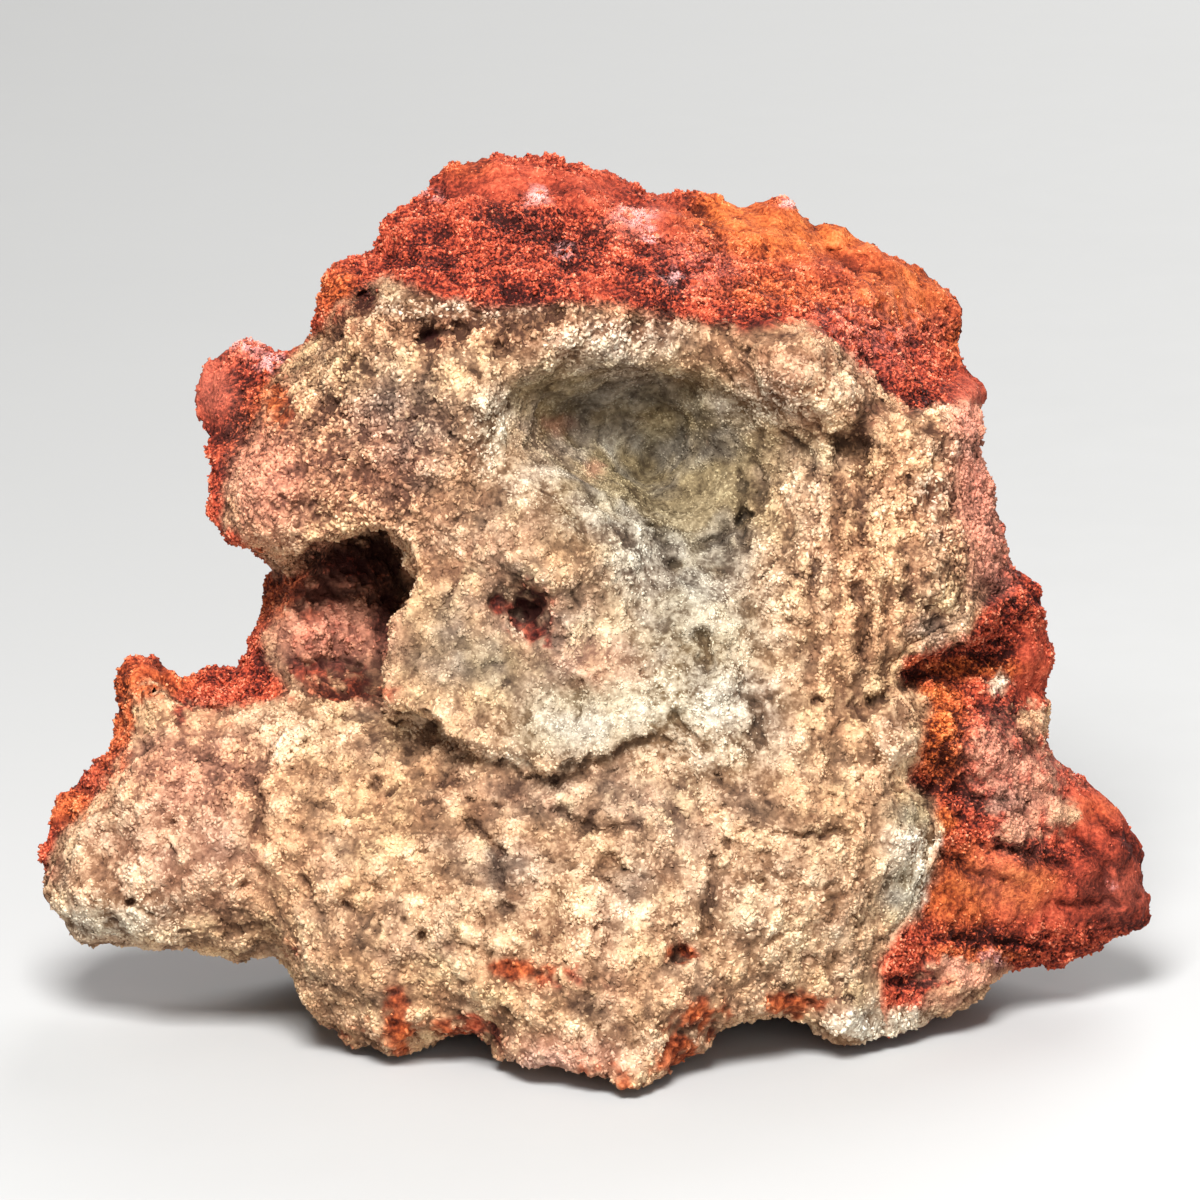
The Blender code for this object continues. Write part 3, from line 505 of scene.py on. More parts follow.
    pits: Bumps = (
        (366, 295, 12, 2.6), (430, 337, 12, 2.4), (458, 331, 9, 1.6), (498, 346, 9, 1.6),
        (527, 606, 17, 1.4), (500, 603, 9, 0.9), (537, 630, 10, 1.1), (662, 314, 12, 1.8),
        (555, 318, 9, 1.2), (421, 938, 6, 1.9), (680, 955, 8, 1.6), (128, 903, 4, 1.4),
        (170, 820, 6, 1.2), (245, 885, 6, 1.1), (375, 785, 6, 1.2), (650, 467, 18, 0.8),
        (672, 562, 8, 1.0), (636, 322, 9, 1.4), (745, 606, 8, 0.9), (930, 796, 12, 1.2),
        (905, 600, 6, 1.0), (290, 752, 4, 0.9), (306, 742, 4, 0.9), (282, 735, 3, 0.8),
        (724, 330, 6, 1.1), (986, 590, 14, 1.2), (345, 905, 6, 1.0), (505, 905, 6, 1.0),
        (610, 860, 7, 0.9), (760, 880, 6, 0.9), (818, 700, 6, 0.9),
    )
    shelf_lip: Path = (
        (226, 550), (262, 554), (278, 564), (300, 556), (318, 546), (345, 544), (372, 538), (398, 546),
        (403, 562), (406, 588), (401, 606), (388, 628), (384, 650), (387, 676), (383, 700), (386, 721),
        (412, 720), (432, 724), (444, 740), (458, 750), (486, 756), (512, 762), (526, 774), (556, 778),
        (580, 766), (604, 750), (640, 738),
    )
    flutes: Spots = ((850, 560, 66, 150, 1.0),)
    crack_width: float = 5.5
    crest_width: float = 12.0
    lip_width: float = 13.0
    flute_width: float = 25.0
    crack_mm: float = 1.0
    crest_mm: float = 0.75
    lip_rise_mm: float = 0.7
    lip_drop_mm: float = 0.4
    flute_mm: float = 0.45
    blur_power: float = 1.3


FACE = FaceMap()


@dataclass
class Zones:
    """Strength of each zone at a set of points, each from 0 to 1.

    Attributes:
        front: How far the surface faces the camera.
        rust: Crust or rust stain.
        green: Grey-green haze of the hollow.
        ash: Greyer grains.
        pale: Bleached grains, and painted light under the hollow's top-right rim.
        tan: Browner grains.
        pink: Pink grains.
        maroon: Dark red pockets, and painted shade in crevices, under the right lobe and in the cave.
        orange: Yellower crust.
        dust: Smooth dusty crust.
        crisp: Coarser speckle.
        dim: Darker grains, and painted shade in crevices, under ledges and in the cave.
        glint: Where larger crystals glint, as painted pale speckles.
    """

    front: np.ndarray
    rust: np.ndarray
    green: np.ndarray
    ash: np.ndarray
    pale: np.ndarray
    tan: np.ndarray
    pink: np.ndarray
    maroon: np.ndarray
    orange: np.ndarray
    dust: np.ndarray
    crisp: np.ndarray
    dim: np.ndarray
    glint: np.ndarray

    @classmethod
    def at(cls, points: np.ndarray, normals: np.ndarray, is_crust: bool) -> "Zones":
        """Reads the zones at points of a body.

        Args:
            points: Points in metres.
            normals: Unit normals of the smooth form there.
            is_crust: Whether the body is the crust.

        Returns:
            The zones at the points.
        """
        millimetres = points / MM
        units, height = SURVEY.read(points)
        wander = np.column_stack([swell(millimetres, 3.0, 11), swell(millimetres, 3.0, 12)])
        wander += 0.6 * np.column_stack([swell(millimetres, 1.1, 13), swell(millimetres, 1.1, 14)])
        units = units + wander * 6
        front = ease((normals @ np.array(SURVEY.toward_camera()) + 0.4) / 0.5)
        back = 1 - front
        edge, _ = to_path(units, FACE.crust_edge, closed=True)
        crusted = ease(0.5 + np.where(inside(units, FACE.crust_edge), edge, -edge) / 14)
        ragged = 0.3 * swell(millimetres, 0.9, 40)
        crusted *= 1 - ease((patches(units, FACE.bare) + ragged - 0.22) / 0.36)
        # The deep cave is rusty, and is darkened as painted shade through the maroon zone.
        cave = patches(units, FACE.cave) * ease((4.5 - height) / 2.5)
        stain = patches(units, FACE.stain) * ease(0.80 + 0.7 * swell(millimetres, 1.6, 15))
        stain = 0.35 * stain + 0.65 * ease((stain + ragged - 0.22) / 0.40)
        facing = np.maximum.reduce([crusted, stain, cave])
        hidden = 1.0 if is_crust else 0.22 * ease(0.2 + 1.5 * swell(millimetres, 7, 16))

        def zone(spots: Spots, size: float, seed: int, share: float) -> np.ndarray:
            """Joins a zone's patches on the face with its clouds on the other sides."""
            clouds = share * ease(0.2 + 1.5 * swell(millimetres, size, seed))
            return front * patches(units, spots) + back * clouds

        return cls(
            front=front,
            rust=front * facing + back * hidden,
            green=zone(FACE.green, 9, 17, 0.25),
            ash=zone(FACE.ash, 7, 18, 0.6),
            pale=zone(FACE.pale, 6, 19, 0.4),
            tan=zone(FACE.tan, 8, 20, 0.6),
            pink=zone(FACE.pink, 6, 24, 0.35),
            # Painted shade: the deep cave is darkened through the maroon zone.
            maroon=np.maximum(zone(FACE.maroon, 6, 25, 0.6), front * cave),
            orange=zone(FACE.orange, 15, 26, 0.65),
            dust=zone(FACE.dust, 10, 27, 0.7),
            crisp=zone(FACE.crisp, 8, 29, 0.6),
            dim=zone(FACE.dim, 7, 30, 0.4),
            glint=zone(FACE.glints, 5, 28, 0.12),
        )

    def masks(self) -> dict[str, np.ndarray]:
        """Gives the zones that the finishes read, by name."""
        return {name: values for name, values in vars(self).items() if name != "front"}


def read_points(mesh: bpy.types.Mesh) -> np.ndarray:
    """Reads a mesh's vertices.

    Args:
        mesh: The mesh.

    Returns:
        One row for each vertex, in metres.
    """
    points = np.empty(3 * len(mesh.vertices), np.float32)
    mesh.vertices.foreach_get("co", points)
    return points.reshape(-1, 3).astype(float)


def read_normals(mesh: bpy.types.Mesh) -> np.ndarray:
    """Reads a mesh's vertex normals.

    Args:
        mesh: The mesh.

    Returns:
        One unit row for each vertex.
    """
    normals = np.empty(3 * len(mesh.vertices), np.float32)
    mesh.vertex_normals.foreach_get("vector", normals)
    return normals.reshape(-1, 3).astype(float)


def read_triangles(mesh: bpy.types.Mesh) -> np.ndarray:
    """Reads a mesh's triangles.

    Args:
        mesh: The mesh.

    Returns:
        One row of vertex numbers for each triangle.
    """
    mesh.calc_loop_triangles()
    triangles = np.empty(3 * len(mesh.loop_triangles), np.int32)
    mesh.loop_triangles.foreach_get("vertices", triangles)
    return triangles.reshape(-1, 3)


def write_mask(mesh: bpy.types.Mesh, name: str, values: np.ndarray) -> None:
    """Keeps one number for each vertex, for the finishes to read.

    Args:
        mesh: The mesh.
        name: Name that the finish reads it by.
        values: One number for each vertex.
    """
    mask = mesh.attributes.get(name) or mesh.attributes.new(name, "FLOAT", "POINT")
    mask.data.foreach_set("value", np.ascontiguousarray(values, np.float32))


def read_mask(mesh: bpy.types.Mesh, name: str) -> np.ndarray:
    """Reads back the numbers kept by write_mask.

    Args:
        mesh: The mesh.
        name: Name that they were kept under.

    Returns:
        One number for each vertex.
    """
    values = np.empty(len(mesh.vertices), np.float32)
    mesh.attributes[name].data.foreach_get("value", values)
    return values.astype(float)


def apply_modifiers(obj: bpy.types.Object) -> None:
    """Replaces an object's mesh by the one that its modifiers make.

    Args:
        obj: The object, which keeps no modifiers.
    """
    graph = bpy.context.evaluated_depsgraph_get()
    mesh = bpy.data.meshes.new_from_object(obj.evaluated_get(graph))
    obj.modifiers.clear()
    spent = obj.data
    obj.data = mesh
    bpy.data.meshes.remove(spent)


def new_piece(name: str, mesh: bpy.types.Mesh) -> bpy.types.Object:
    """Adds a mesh to the scene as a piece.

    Args:
        name: The piece's name.
        mesh: Its mesh.

    Returns:
        The piece.
    """
    piece = bpy.data.objects.new(name, mesh)
    bpy.context.scene.collection.objects.link(piece)
    return piece


class Web:
    """Adds shader nodes to a material and wires them."""

    def __init__(self, name: str) -> None:
        """Starts a material with its principled shader.

        Args:
            name: The material's name.
        """
        self.material = bpy.data.materials.new(name)
        self.material.use_nodes = True
        self.tree = self.material.node_tree
        self.shader = self.tree.nodes["Principled BSDF"]
        where = self.add("ShaderNodeTexCoord")
        self.place = where.outputs["Object"]

    def add(self, kind: str, **settings: object) -> bpy.types.Node:
        """Adds a node.

        Args:
            kind: Blender's name for the node.
            settings: Properties to set on it.

        Returns:
            The node.
        """
        node = self.tree.nodes.new(kind)
        for name, value in settings.items():
            setattr(node, name, value)
        return node

    def feed(self, socket: bpy.types.NodeSocket, value: object) -> None:
        """Links an output to a socket, or sets the socket's value.

        Args:
            socket: The socket to feed.
            value: An output, or a plain value.
        """
        if isinstance(value, bpy.types.NodeSocket):
            self.tree.links.new(value, socket)
        else:
            socket.default_value = value

    def math(self, operation: str, first: object, second: object = 0.0) -> bpy.types.NodeSocket:
        """Adds a sum, product or other operation on two values.

        Args:
            operation: Blender's name for the operation.
            first: First value.
            second: Second value.

        Returns:
            The result.
        """
        node = self.add("ShaderNodeMath", operation=operation)
        self.feed(node.inputs[0], first)
        self.feed(node.inputs[1], second)
        return node.outputs[0]

    def mask(self, name: str) -> bpy.types.NodeSocket:
        """Reads a number kept on the mesh."""
        return self.add("ShaderNodeAttribute", attribute_name=name).outputs["Fac"]

    def cloud(self, size_mm: float, detail: float = 3.0, rough: float = 0.6) -> bpy.types.NodeSocket:
        """Adds noise of a real size.

        Args:
            size_mm: Size of its clouds.
            detail: How many finer layers it has.
            rough: Strength of the finer layers.

        Returns:
            The noise, from 0 to 1.
        """
        node = self.add("ShaderNodeTexNoise")
        self.feed(node.inputs["Vector"], self.place)
        node.inputs["Scale"].default_value = 1 / (size_mm * MM)
        node.inputs["Detail"].default_value = detail
        node.inputs["Roughness"].default_value = rough
        return node.outputs["Fac"]

    def around(self, value: bpy.types.NodeSocket, share: float, middle: float) -> bpy.types.NodeSocket:
        """Scales a value from 0 to 1 about a half, and moves it to a new middle.

        Args:
            value: The value.
            share: Its new range.
            middle: Where a half goes.

        Returns:
            The result.
        """
        node = self.add("ShaderNodeMath", operation="MULTIPLY_ADD")
        self.feed(node.inputs[0], value)
        node.inputs[1].default_value = share
        node.inputs[2].default_value = middle - share / 2
        return node.outputs[0]

    def stretch(self, value: bpy.types.NodeSocket, low: float, high: float) -> bpy.types.NodeSocket:
        """Stretches a part of a value's range to 0..1.

        Args:
            value: The value.
            low: What becomes 0.
            high: What becomes 1.

        Returns:
            The result, kept from 0 to 1.
        """
        node = self.add("ShaderNodeMapRange")
        self.feed(node.inputs["Value"], value)
        node.inputs["From Min"].default_value = low
        node.inputs["From Max"].default_value = high
        return node.outputs["Result"]

    def ramp(self, value: object, stops: Ramp) -> bpy.types.NodeSocket:
        """Turns a value into a colour.

        Args:
            value: What to read along the ramp.
            stops: Place and colour of each stop.

        Returns:
            The colour.
        """
        node = self.add("ShaderNodeValToRGB")
        self.feed(node.inputs["Fac"], value)
        elements = node.color_ramp.elements
        while len(elements) < len(stops):
            elements.new(0.5)
        for element, (place, colour) in zip(elements, stops):
            element.position = place
            element.color = (*colour, 1)
        return node.outputs["Color"]

    def mix(self, share: object, first: object, second: object) -> bpy.types.NodeSocket:
        """Mixes two colours.

        Args:
            share: Share of the second colour.
            first: First colour.
            second: Second colour.

        Returns:
            The mixed colour.
        """
        node = self.add("ShaderNodeMix", data_type="RGBA")
        self.feed(node.inputs["Factor"], share)
        self.feed(node.inputs[MIX_FIRST], first)
        self.feed(node.inputs[MIX_SECOND], second)
        return node.outputs[MIX_RESULT]

    def span(self, value: object, low: float, high: float) -> bpy.types.NodeSocket:
        """Stretches a value from 0..1 to another range.

        Args:
            value: The value.
            low: What 0 becomes.
            high: What 1 becomes.

        Returns:
            The result.
        """
        node = self.add("ShaderNodeMapRange")
        self.feed(node.inputs["Value"], value)
        node.inputs["To Min"].default_value = low
        node.inputs["To Max"].default_value = high
        return node.outputs["Result"]

    def emboss(self, height: object, depth_mm: float, under: object = None) -> bpy.types.NodeSocket:
        """Adds fine relief to the shading.

        Args:
            height: Height from 0 to 1.
            depth_mm: Depth of the relief.
            under: Relief that it lies on.

        Returns:
            The normal.
        """
        node = self.add("ShaderNodeBump")
        node.inputs["Strength"].default_value = 1.0
        node.inputs["Distance"].default_value = depth_mm * MM
        self.feed(node.inputs["Height"], height)
        if under is not None:
            self.feed(node.inputs["Normal"], under)
        return node.outputs["Normal"]


@dataclass(frozen=True)
class MineralFinish:
    """Finish of the grains and of the surface between them.

    Attributes:
        name: The material's name.
        base_shade: Where the surface lies along the colours when nothing moves it.
        tint_share: How far each grain's own tint moves it.
        roughness: Lowest and highest roughness.
        relief_mm: Depth of the finest relief.
        speckle_mm: Size of the finest speckle.
        mottle: Strength of the finest speckle.
        gloss: Strength of the reflections.
        cream: Colours of the matrix, dark to light.
        grey: Colours of its greyer grains, dark to light.
        brown: Colours of its browner grains, dark to light.
        haze: Colours of the grey-green hollow, dark to light.
        slate: Colours of its bluer clouds, dark to light.
        crust: Colours of the crust, dark to light.
        yellow: Colours of the yellower crust, dark to light.
        powder: Colours of the dusty crust, dark to light.
        blush: Colour of pink grains.
        bleach_and_lit_colour: Colour of bleached grains, also laid on as painted light.
        straw: Colour of yellowish grains.
        crystal_glint_colour: Colour of the larger pale crystals, with their glints painted in.
    """

    name: str
    base_shade: float
    tint_share: float
    roughness: tuple[float, float]
    relief_mm: float
    speckle_mm: float
    mottle: float
    gloss: float = 0.16
    cream: Ramp = (
        (0.0, (0.056, 0.027, 0.014)), (0.28, (0.22, 0.115, 0.058)), (0.52, (0.52, 0.305, 0.160)),
        (0.76, (0.76, 0.520, 0.300)), (1.0, (0.88, 0.72, 0.49)),
    )
    grey: Ramp = (
        (0.0, (0.050, 0.030, 0.021)), (0.35, (0.19, 0.128, 0.092)), (0.65, (0.46, 0.350, 0.265)),
        (1.0, (0.86, 0.78, 0.68)),
    )
    brown: Ramp = (
        (0.0, (0.066, 0.025, 0.014)), (0.35, (0.29, 0.128, 0.064)), (0.68, (0.61, 0.335, 0.185)),
        (1.0, (0.88, 0.65, 0.44)),
    )
    haze: Ramp = (
        (0.0, (0.044, 0.033, 0.016)), (0.3, (0.158, 0.128, 0.066)), (0.62, (0.39, 0.330, 0.190)),
        (1.0, (0.78, 0.72, 0.52)),
    )
    slate: Ramp = (
        (0.0, (0.036, 0.032, 0.024)), (0.3, (0.132, 0.126, 0.100)), (0.62, (0.33, 0.320, 0.262)),
        (1.0, (0.72, 0.71, 0.62)),
    )
    crust: Ramp = (
        (0.0, (0.026, 0.004, 0.003)), (0.26, (0.110, 0.014, 0.009)), (0.5, (0.34, 0.046, 0.021)),
        (0.76, (0.56, 0.100, 0.044)), (1.0, (0.76, 0.26, 0.145)),
    )
    yellow: Ramp = (
        (0.0, (0.060, 0.009, 0.003)), (0.3, (0.28, 0.049, 0.010)), (0.65, (0.67, 0.168, 0.037)),
        (1.0, (0.84, 0.33, 0.108)),
    )
    powder: Ramp = (
        (0.0, (0.09, 0.012, 0.007)), (0.45, (0.38, 0.056, 0.027)), (1.0, (0.66, 0.155, 0.080)),
    )
    blush: Colour = (0.70, 0.265, 0.185)
    bleach_and_lit_colour: Colour = (0.88, 0.85, 0.71)
    straw: Colour = (0.82, 0.64, 0.34)
    crystal_glint_colour: Colour = (0.78, 0.44, 0.42)

    def make(self) -> bpy.types.Material:
        """Builds the material.

        Returns:
            The finished material.
        """
        web = Web(self.name)
        speckle = web.cloud(self.speckle_mm, 2.0, 0.55)
        shade = self.shade(web, speckle)
        blushing = web.math("MULTIPLY", web.mask("pink"), web.stretch(shade, -0.3, 0.65))
        rock = self.rock_colour(web, shade, blushing)
        red = self.crust_colour(web, shade, blushing)
        web.feed(web.shader.inputs["Base Color"], web.mix(web.mask("rust"), rock, red))
        web.feed(web.shader.inputs["Roughness"], web.span(web.cloud(0.8), *self.roughness))
        web.shader.inputs["Specular IOR Level"].default_value = self.gloss
        normal = web.emboss(speckle, self.relief_mm * 1.6)
        normal = web.emboss(web.cloud(0.2, 3.0, 0.7), self.relief_mm, normal)
        web.feed(web.shader.inputs["Normal"], normal)
        return web.material

    def shade(self, web: Web, speckle: bpy.types.NodeSocket) -> bpy.types.NodeSocket:
        """Works out how light each place is along the colours.

        Args:
            web: The material's nodes.
            speckle: The finest speckle.

        Returns:
            The shade, from about 0 to 1.
        """
        shade = web.around(web.mask("tint"), self.tint_share, self.base_shade)
        pocket = web.span(web.mask("maroon"), 0.62, 1.1)
        crumbly = web.math("MULTIPLY", pocket, web.span(web.mask("dust"), 1.0, 0.2))
        strength = web.math("MULTIPLY", web.mask("rust"), crumbly)
        strength = web.math("MAXIMUM", strength, web.span(web.mask("crisp"), 0.35, 0.75))
        mottling = web.math("MULTIPLY", web.around(speckle, self.mottle, 0.0), strength)
        shade = web.math("ADD", shade, mottling)
        crisper = web.span(web.math("MAXIMUM", web.mask("crisp"), web.mask("rust")), 0.6, 1.0)
        broad = web.around(web.cloud(3.6, 3.0), 0.75, 0.0)
        clouds = web.math("ADD", broad, web.around(web.cloud(1.4, 1.0), 0.40, 0.0))
        shade = web.math("ADD", shade, web.math("MULTIPLY", clouds, crisper))
        # Painted shade and light: hollows of the relief are darker, crests lighter.
        shade = web.math("ADD", shade, web.around(web.mask("relief"), 0.72, 0.0))
        # Painted shade and darker grains: the dim zone lowers the shade.
        return web.math("ADD", shade, web.math("MULTIPLY", web.mask("dim"), -0.24))

    def rock_colour(
        self, web: Web, shade: bpy.types.NodeSocket, blushing: bpy.types.NodeSocket
    ) -> bpy.types.NodeSocket:
        """Works out the colour of the matrix.

        Args:
            web: The material's nodes.
            shade: How light each place is.
            blushing: Share of pink.

        Returns:
            The colour.
        """
        ash = web.math("ADD", web.mask("ash"), web.around(web.cloud(5.0, 2.0), 1.6, 0.12))
        rock = web.mix(ash, web.ramp(shade, self.cream), web.ramp(shade, self.grey))
        tan = web.math("ADD", web.mask("tan"), web.around(web.cloud(2.6, 2.0), 1.4, 0.06))
        rock = web.mix(tan, rock, web.ramp(web.math("ADD", shade, -0.05), self.brown))
        yellowing = web.stretch(web.cloud(4.4, 2.0), 0.5, 0.85)
        yellowing = web.math("MULTIPLY", yellowing, web.stretch(shade, 0.2, 0.9))
        rock = web.mix(yellowing, rock, (*self.straw, 1))
        misty = web.math("ADD", shade, -0.12)
        slaty = web.stretch(web.cloud(6.5, 2.0), 0.44, 0.60)
        hollow = web.mix(slaty, web.ramp(misty, self.haze), web.ramp(misty, self.slate))
        rock = web.mix(web.math("MULTIPLY", web.mask("green"), 0.85), rock, hollow)
        # Bleached grains, and painted light under the hollow's top-right rim.
        bleach_and_lit_share = web.math("MULTIPLY", web.mask("pale"), web.stretch(shade, 0.25, 0.85))
        rock = web.mix(bleach_and_lit_share, rock, (*self.bleach_and_lit_colour, 1))
        return web.mix(blushing, rock, (*self.blush, 1))

    def crust_colour(
        self, web: Web, shade: bpy.types.NodeSocket, blushing: bpy.types.NodeSocket
    ) -> bpy.types.NodeSocket:
        """Works out the colour of the crust.

        Args:
            web: The material's nodes.
            shade: How light each place is.
            blushing: Share of pink.

        Returns:
            The colour.
        """
        # Dark red pockets and painted shade: the maroon zone darkens the crust's colours.
        deep = web.math("ADD", shade, web.math("MULTIPLY", web.mask("maroon"), -0.34))
        red = web.mix(web.mask("orange"), web.ramp(deep, self.crust), web.ramp(deep, self.yellow))
        powdery = web.math("MULTIPLY", web.mask("dust"), web.span(web.mask("orange"), 0.85, 0.15))
        red = web.mix(powdery, red, web.ramp(deep, self.powder))
        red = web.mix(web.math("MULTIPLY", blushing, 0.5), red, (*self.blush, 1))
        # Painted glints: pale pink speckles on lighter places near the larger crystals, partly the
        # crystals' own pale colour.
        sparse = web.stretch(web.cloud(0.9, 1.0), 0.38, 0.52)
        sparse = web.math("MULTIPLY", sparse, web.stretch(shade, 0.0, 0.6))
        crystal_glint_share = web.math("MULTIPLY", web.mask("glint"), sparse)
        return web.mix(web.math("MULTIPLY", crystal_glint_share, 0.85), red, (*self.crystal_glint_colour, 1))


@dataclass(frozen=True)
class FloorFinish:
    """Finish of the plain pale floor.

    Attributes:
        colour: Colour of the floor.
        roughness: Lowest and highest roughness.
    """

    colour: Colour = (0.44, 0.44, 0.435)
    roughness: tuple[float, float] = (0.6, 0.72)

    def make(self) -> bpy.types.Material:
        """Builds the material.

        Returns:
            The finished material.
        """
        web = Web("pale_floor")
        lighter = tuple(c * 1.03 for c in self.colour)
        colour = web.mix(web.cloud(60.0), (*self.colour, 1), (*lighter, 1))
        web.feed(web.shader.inputs["Base Color"], colour)
        web.feed(web.shader.inputs["Roughness"], web.span(web.cloud(8.0), *self.roughness))
        return web.material


class Habit(Enum):
    """Shapes of crystal that cover the specimen."""

    GRAIN = "grain"
    BLADE = "blade"


@dataclass
class RockBody:
    """One body of the specimen, remade from its solid with fine relief.

    Attributes:
        node: The solid that it replaces.
        other: The solid that it grew against.
        is_crust: Whether it is the crust.
        finish: Its finish.
        voxel_mm: Spacing of the remeshed skin.
        easing_rounds: How often the skin is smoothed before the relief.
        foot_band_mm: Height over the ground in which the relief fades out.
        most_triangles: Triangles that are kept.
    """

    node: str
    other: str
    is_crust: bool
    finish: MineralFinish
    voxel_mm: float = 0.3
    easing_rounds: int = 12
    foot_band_mm: float = 0.9
    most_triangles: int = 185_000
    piece: bpy.types.Object = field(init=False)

    def build(self) -> bpy.types.Object:
        """Makes the body.

        Returns:
            The finished piece.
        """
        self.piece = self.skin()
        self.carve()
        self.thin()
        self.dress()
        return self.piece

    def skin(self) -> bpy.types.Object:
        """Remeshes a copy of the solid and eases its facets away.

        Returns:
            The new piece, before any relief.
        """
        piece = new_piece(f"{self.node}_body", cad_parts[self.node].data.copy())
        weld = piece.modifiers.new("weld", "WELD")
        weld.merge_threshold = 1e-6
        remesh = piece.modifiers.new("skin", "REMESH")
        remesh.mode = "VOXEL"
        remesh.voxel_size = self.voxel_mm * MM * 1
        smooth = piece.modifiers.new("ease", "SMOOTH")
        smooth.factor = 0.5
        smooth.iterations = self.easing_rounds
        apply_modifiers(piece)
        return piece

    def against(self, points: np.ndarray, normals: np.ndarray) -> tuple[np.ndarray, np.ndarray]:
        """Measures the skin against the body that it grew on.

        Args:
            points: Points of the skin, in metres.
            normals: Unit normals there.

        Returns:
            How far each point lies on the hidden contact, from 0 to 1, and the move in metres that
            closes the gap at its edge.
        """
        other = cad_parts[self.other].data
        corners = [vertex.co for vertex in other.vertices]
        tree = BVHTree.FromPolygons(corners, [polygon.vertices for polygon in other.polygons])
        way = np.array([tree.find_nearest(Vector(p))[0] for p in points]) - points
        apart = np.linalg.norm(way, axis=1) / MM
        facing = (normals * way).sum(axis=1) / (apart * MM + 1e-9)
        contact = (1 - ease((apart - 0.6) / 0.7)) * ease((facing - 0.3) / 0.4)
        closing = 0.62 * (1 - ease((apart - 0.55) / 0.9))
        return contact, way * closing[:, None]

    def carve(self) -> None:
        """Moves the skin out and in by the fine relief."""
        mesh = self.piece.data
        points = read_points(mesh)
        normals = read_normals(mesh)
        contact, closing = self.against(points, normals)
        zones = Zones.at(points, normals, self.is_crust)
        broad, fine = self.relief(points / MM, zones)
        forms = zones.front * self.face_relief(points)
        free = (1 - contact) * ease((points[:, 2] / MM) / self.foot_band_mm)
        moved = points + closing + normals * (free * (broad + fine) * MM)[:, None]
        moved += np.array(SURVEY.toward_camera()) * (free * forms * MM)[:, None]
        moved[:, 2] = np.maximum(moved[:, 2], np.minimum(points[:, 2], 0.0))
        mesh.vertices.foreach_set("co", moved.astype(np.float32).ravel())
        # The relief mask also paints shade: low places turn darker and raised places lighter in the
        # finish.
        write_mask(mesh, "relief", np.clip(0.5 + fine / 1.5 + np.minimum(forms, 0.3) / 3, 0, 1))
        write_mask(mesh, "contact", contact)
        mesh.update()

    def relief(self, millimetres: np.ndarray, zones: Zones) -> tuple[np.ndarray, np.ndarray]:
        """Gives the height of the relief along the normals.

        Args:
            millimetres: Points in millimetres.
            zones: The zones at the points.

        Returns:
            The broad and the fine relief, in millimetres.
        """
        warp = np.column_stack([swell(millimetres, 1.7, seed) for seed in (21, 22, 23)])
        warped = millimetres + 0.5 * warp
        lump = pebbles(warped, 2.6, 31)
        bead = pebbles(warped, 1.1, 32)
        grit = swell(millimetres, 0.7, 35)
        pores = ease((swell(warped + 0.6 * warp, 1.4, 36) - 0.42) / 0.4)
        rock = (0.30 + 0.15 * zones.crisp) * (0.42 - bead) + (0.12 + 0.08 * zones.crisp) * grit
        rock += 0.95 * (0.45 - lump) - 0.42 * pores
        rock *= 1 - 0.45 * zones.green
        crumb = ease((swell(millimetres, 0.95, 39) - 0.1) / 0.4)
        crust = 0.60 * (0.42 - bead) + 0.20 * grit - (0.36 + 0.30 * zones.maroon) * crumb
        crust = crust * (1 - 0.8 * zones.dust) + 0.75 * (0.42 - lump)
        broad = 0.75 * swell(millimetres, 5.2, 34) + (0.25 * zones.rust) * swell(millimetres, 7.5, 37)
        broad += 0.40 * zones.green * swell(warped, 2.4, 43)
        hidden = 1.1 * swell(millimetres, 11, 38) + 0.8 * (0.4 - pebbles(warped, 6.0, 33))
        broad += (1 - zones.front) * hidden
        return broad, rock + (crust - rock) * zones.rust

    def face_relief(self, points: np.ndarray) -> np.ndarray:
        """Gives the height of the forms that have a place on the broken face.

        Args:
            points: Points in metres.

        Returns:
            Height toward the camera at each point, in millimetres.
        """
        millimetres = points / MM
        units, _ = SURVEY.read(points)
        units = units + 5 * np.column_stack([swell(millimetres, 1.4, 41), swell(millimetres, 1.4, 42)])
        height = np.zeros(len(points))
        for crack in FACE.cracks:
            apart, _ = to_path(units, crack)
            height -= FACE.crack_mm * np.exp(-((apart / FACE.crack_width) ** 2))
        for crest in FACE.ridges:
            apart, _ = to_path(units, crest)
            height += FACE.crest_mm * np.exp(-((apart / FACE.crest_width) ** 2))
        for x, y, radius, rise in FACE.lumps:
            near = ((units - (x, y)) ** 2).sum(axis=1) / radius**2
            height += rise * np.exp(-(near**FACE.blur_power))
        for x, y, radius, depth in FACE.pits:
            near = ((units - (x, y)) ** 2).sum(axis=1) / radius**2
            height -= depth * np.exp(-(near**FACE.blur_power))
        apart, side = to_path(units, FACE.shelf_lip)
        step = np.where(side > 0, FACE.lip_rise_mm, -FACE.lip_drop_mm)
        height += step * np.exp(-((apart / FACE.lip_width) ** 2))
        waves = np.cos(units[:, 0] * 2 * math.pi / FACE.flute_width)
        height += FACE.flute_mm * patches(units, FACE.flutes) * waves
        return height

    def thin(self) -> None:
        """Keeps the triangles that the relief needs."""
        count = len(read_triangles(self.piece.data))
        split = self.piece.modifiers.new("split", "TRIANGULATE")
        split.min_vertices = 4
        thin = self.piece.modifiers.new("thin", "DECIMATE")
        thin.ratio = min(1.0, self.most_triangles / count)
        apply_modifiers(self.piece)

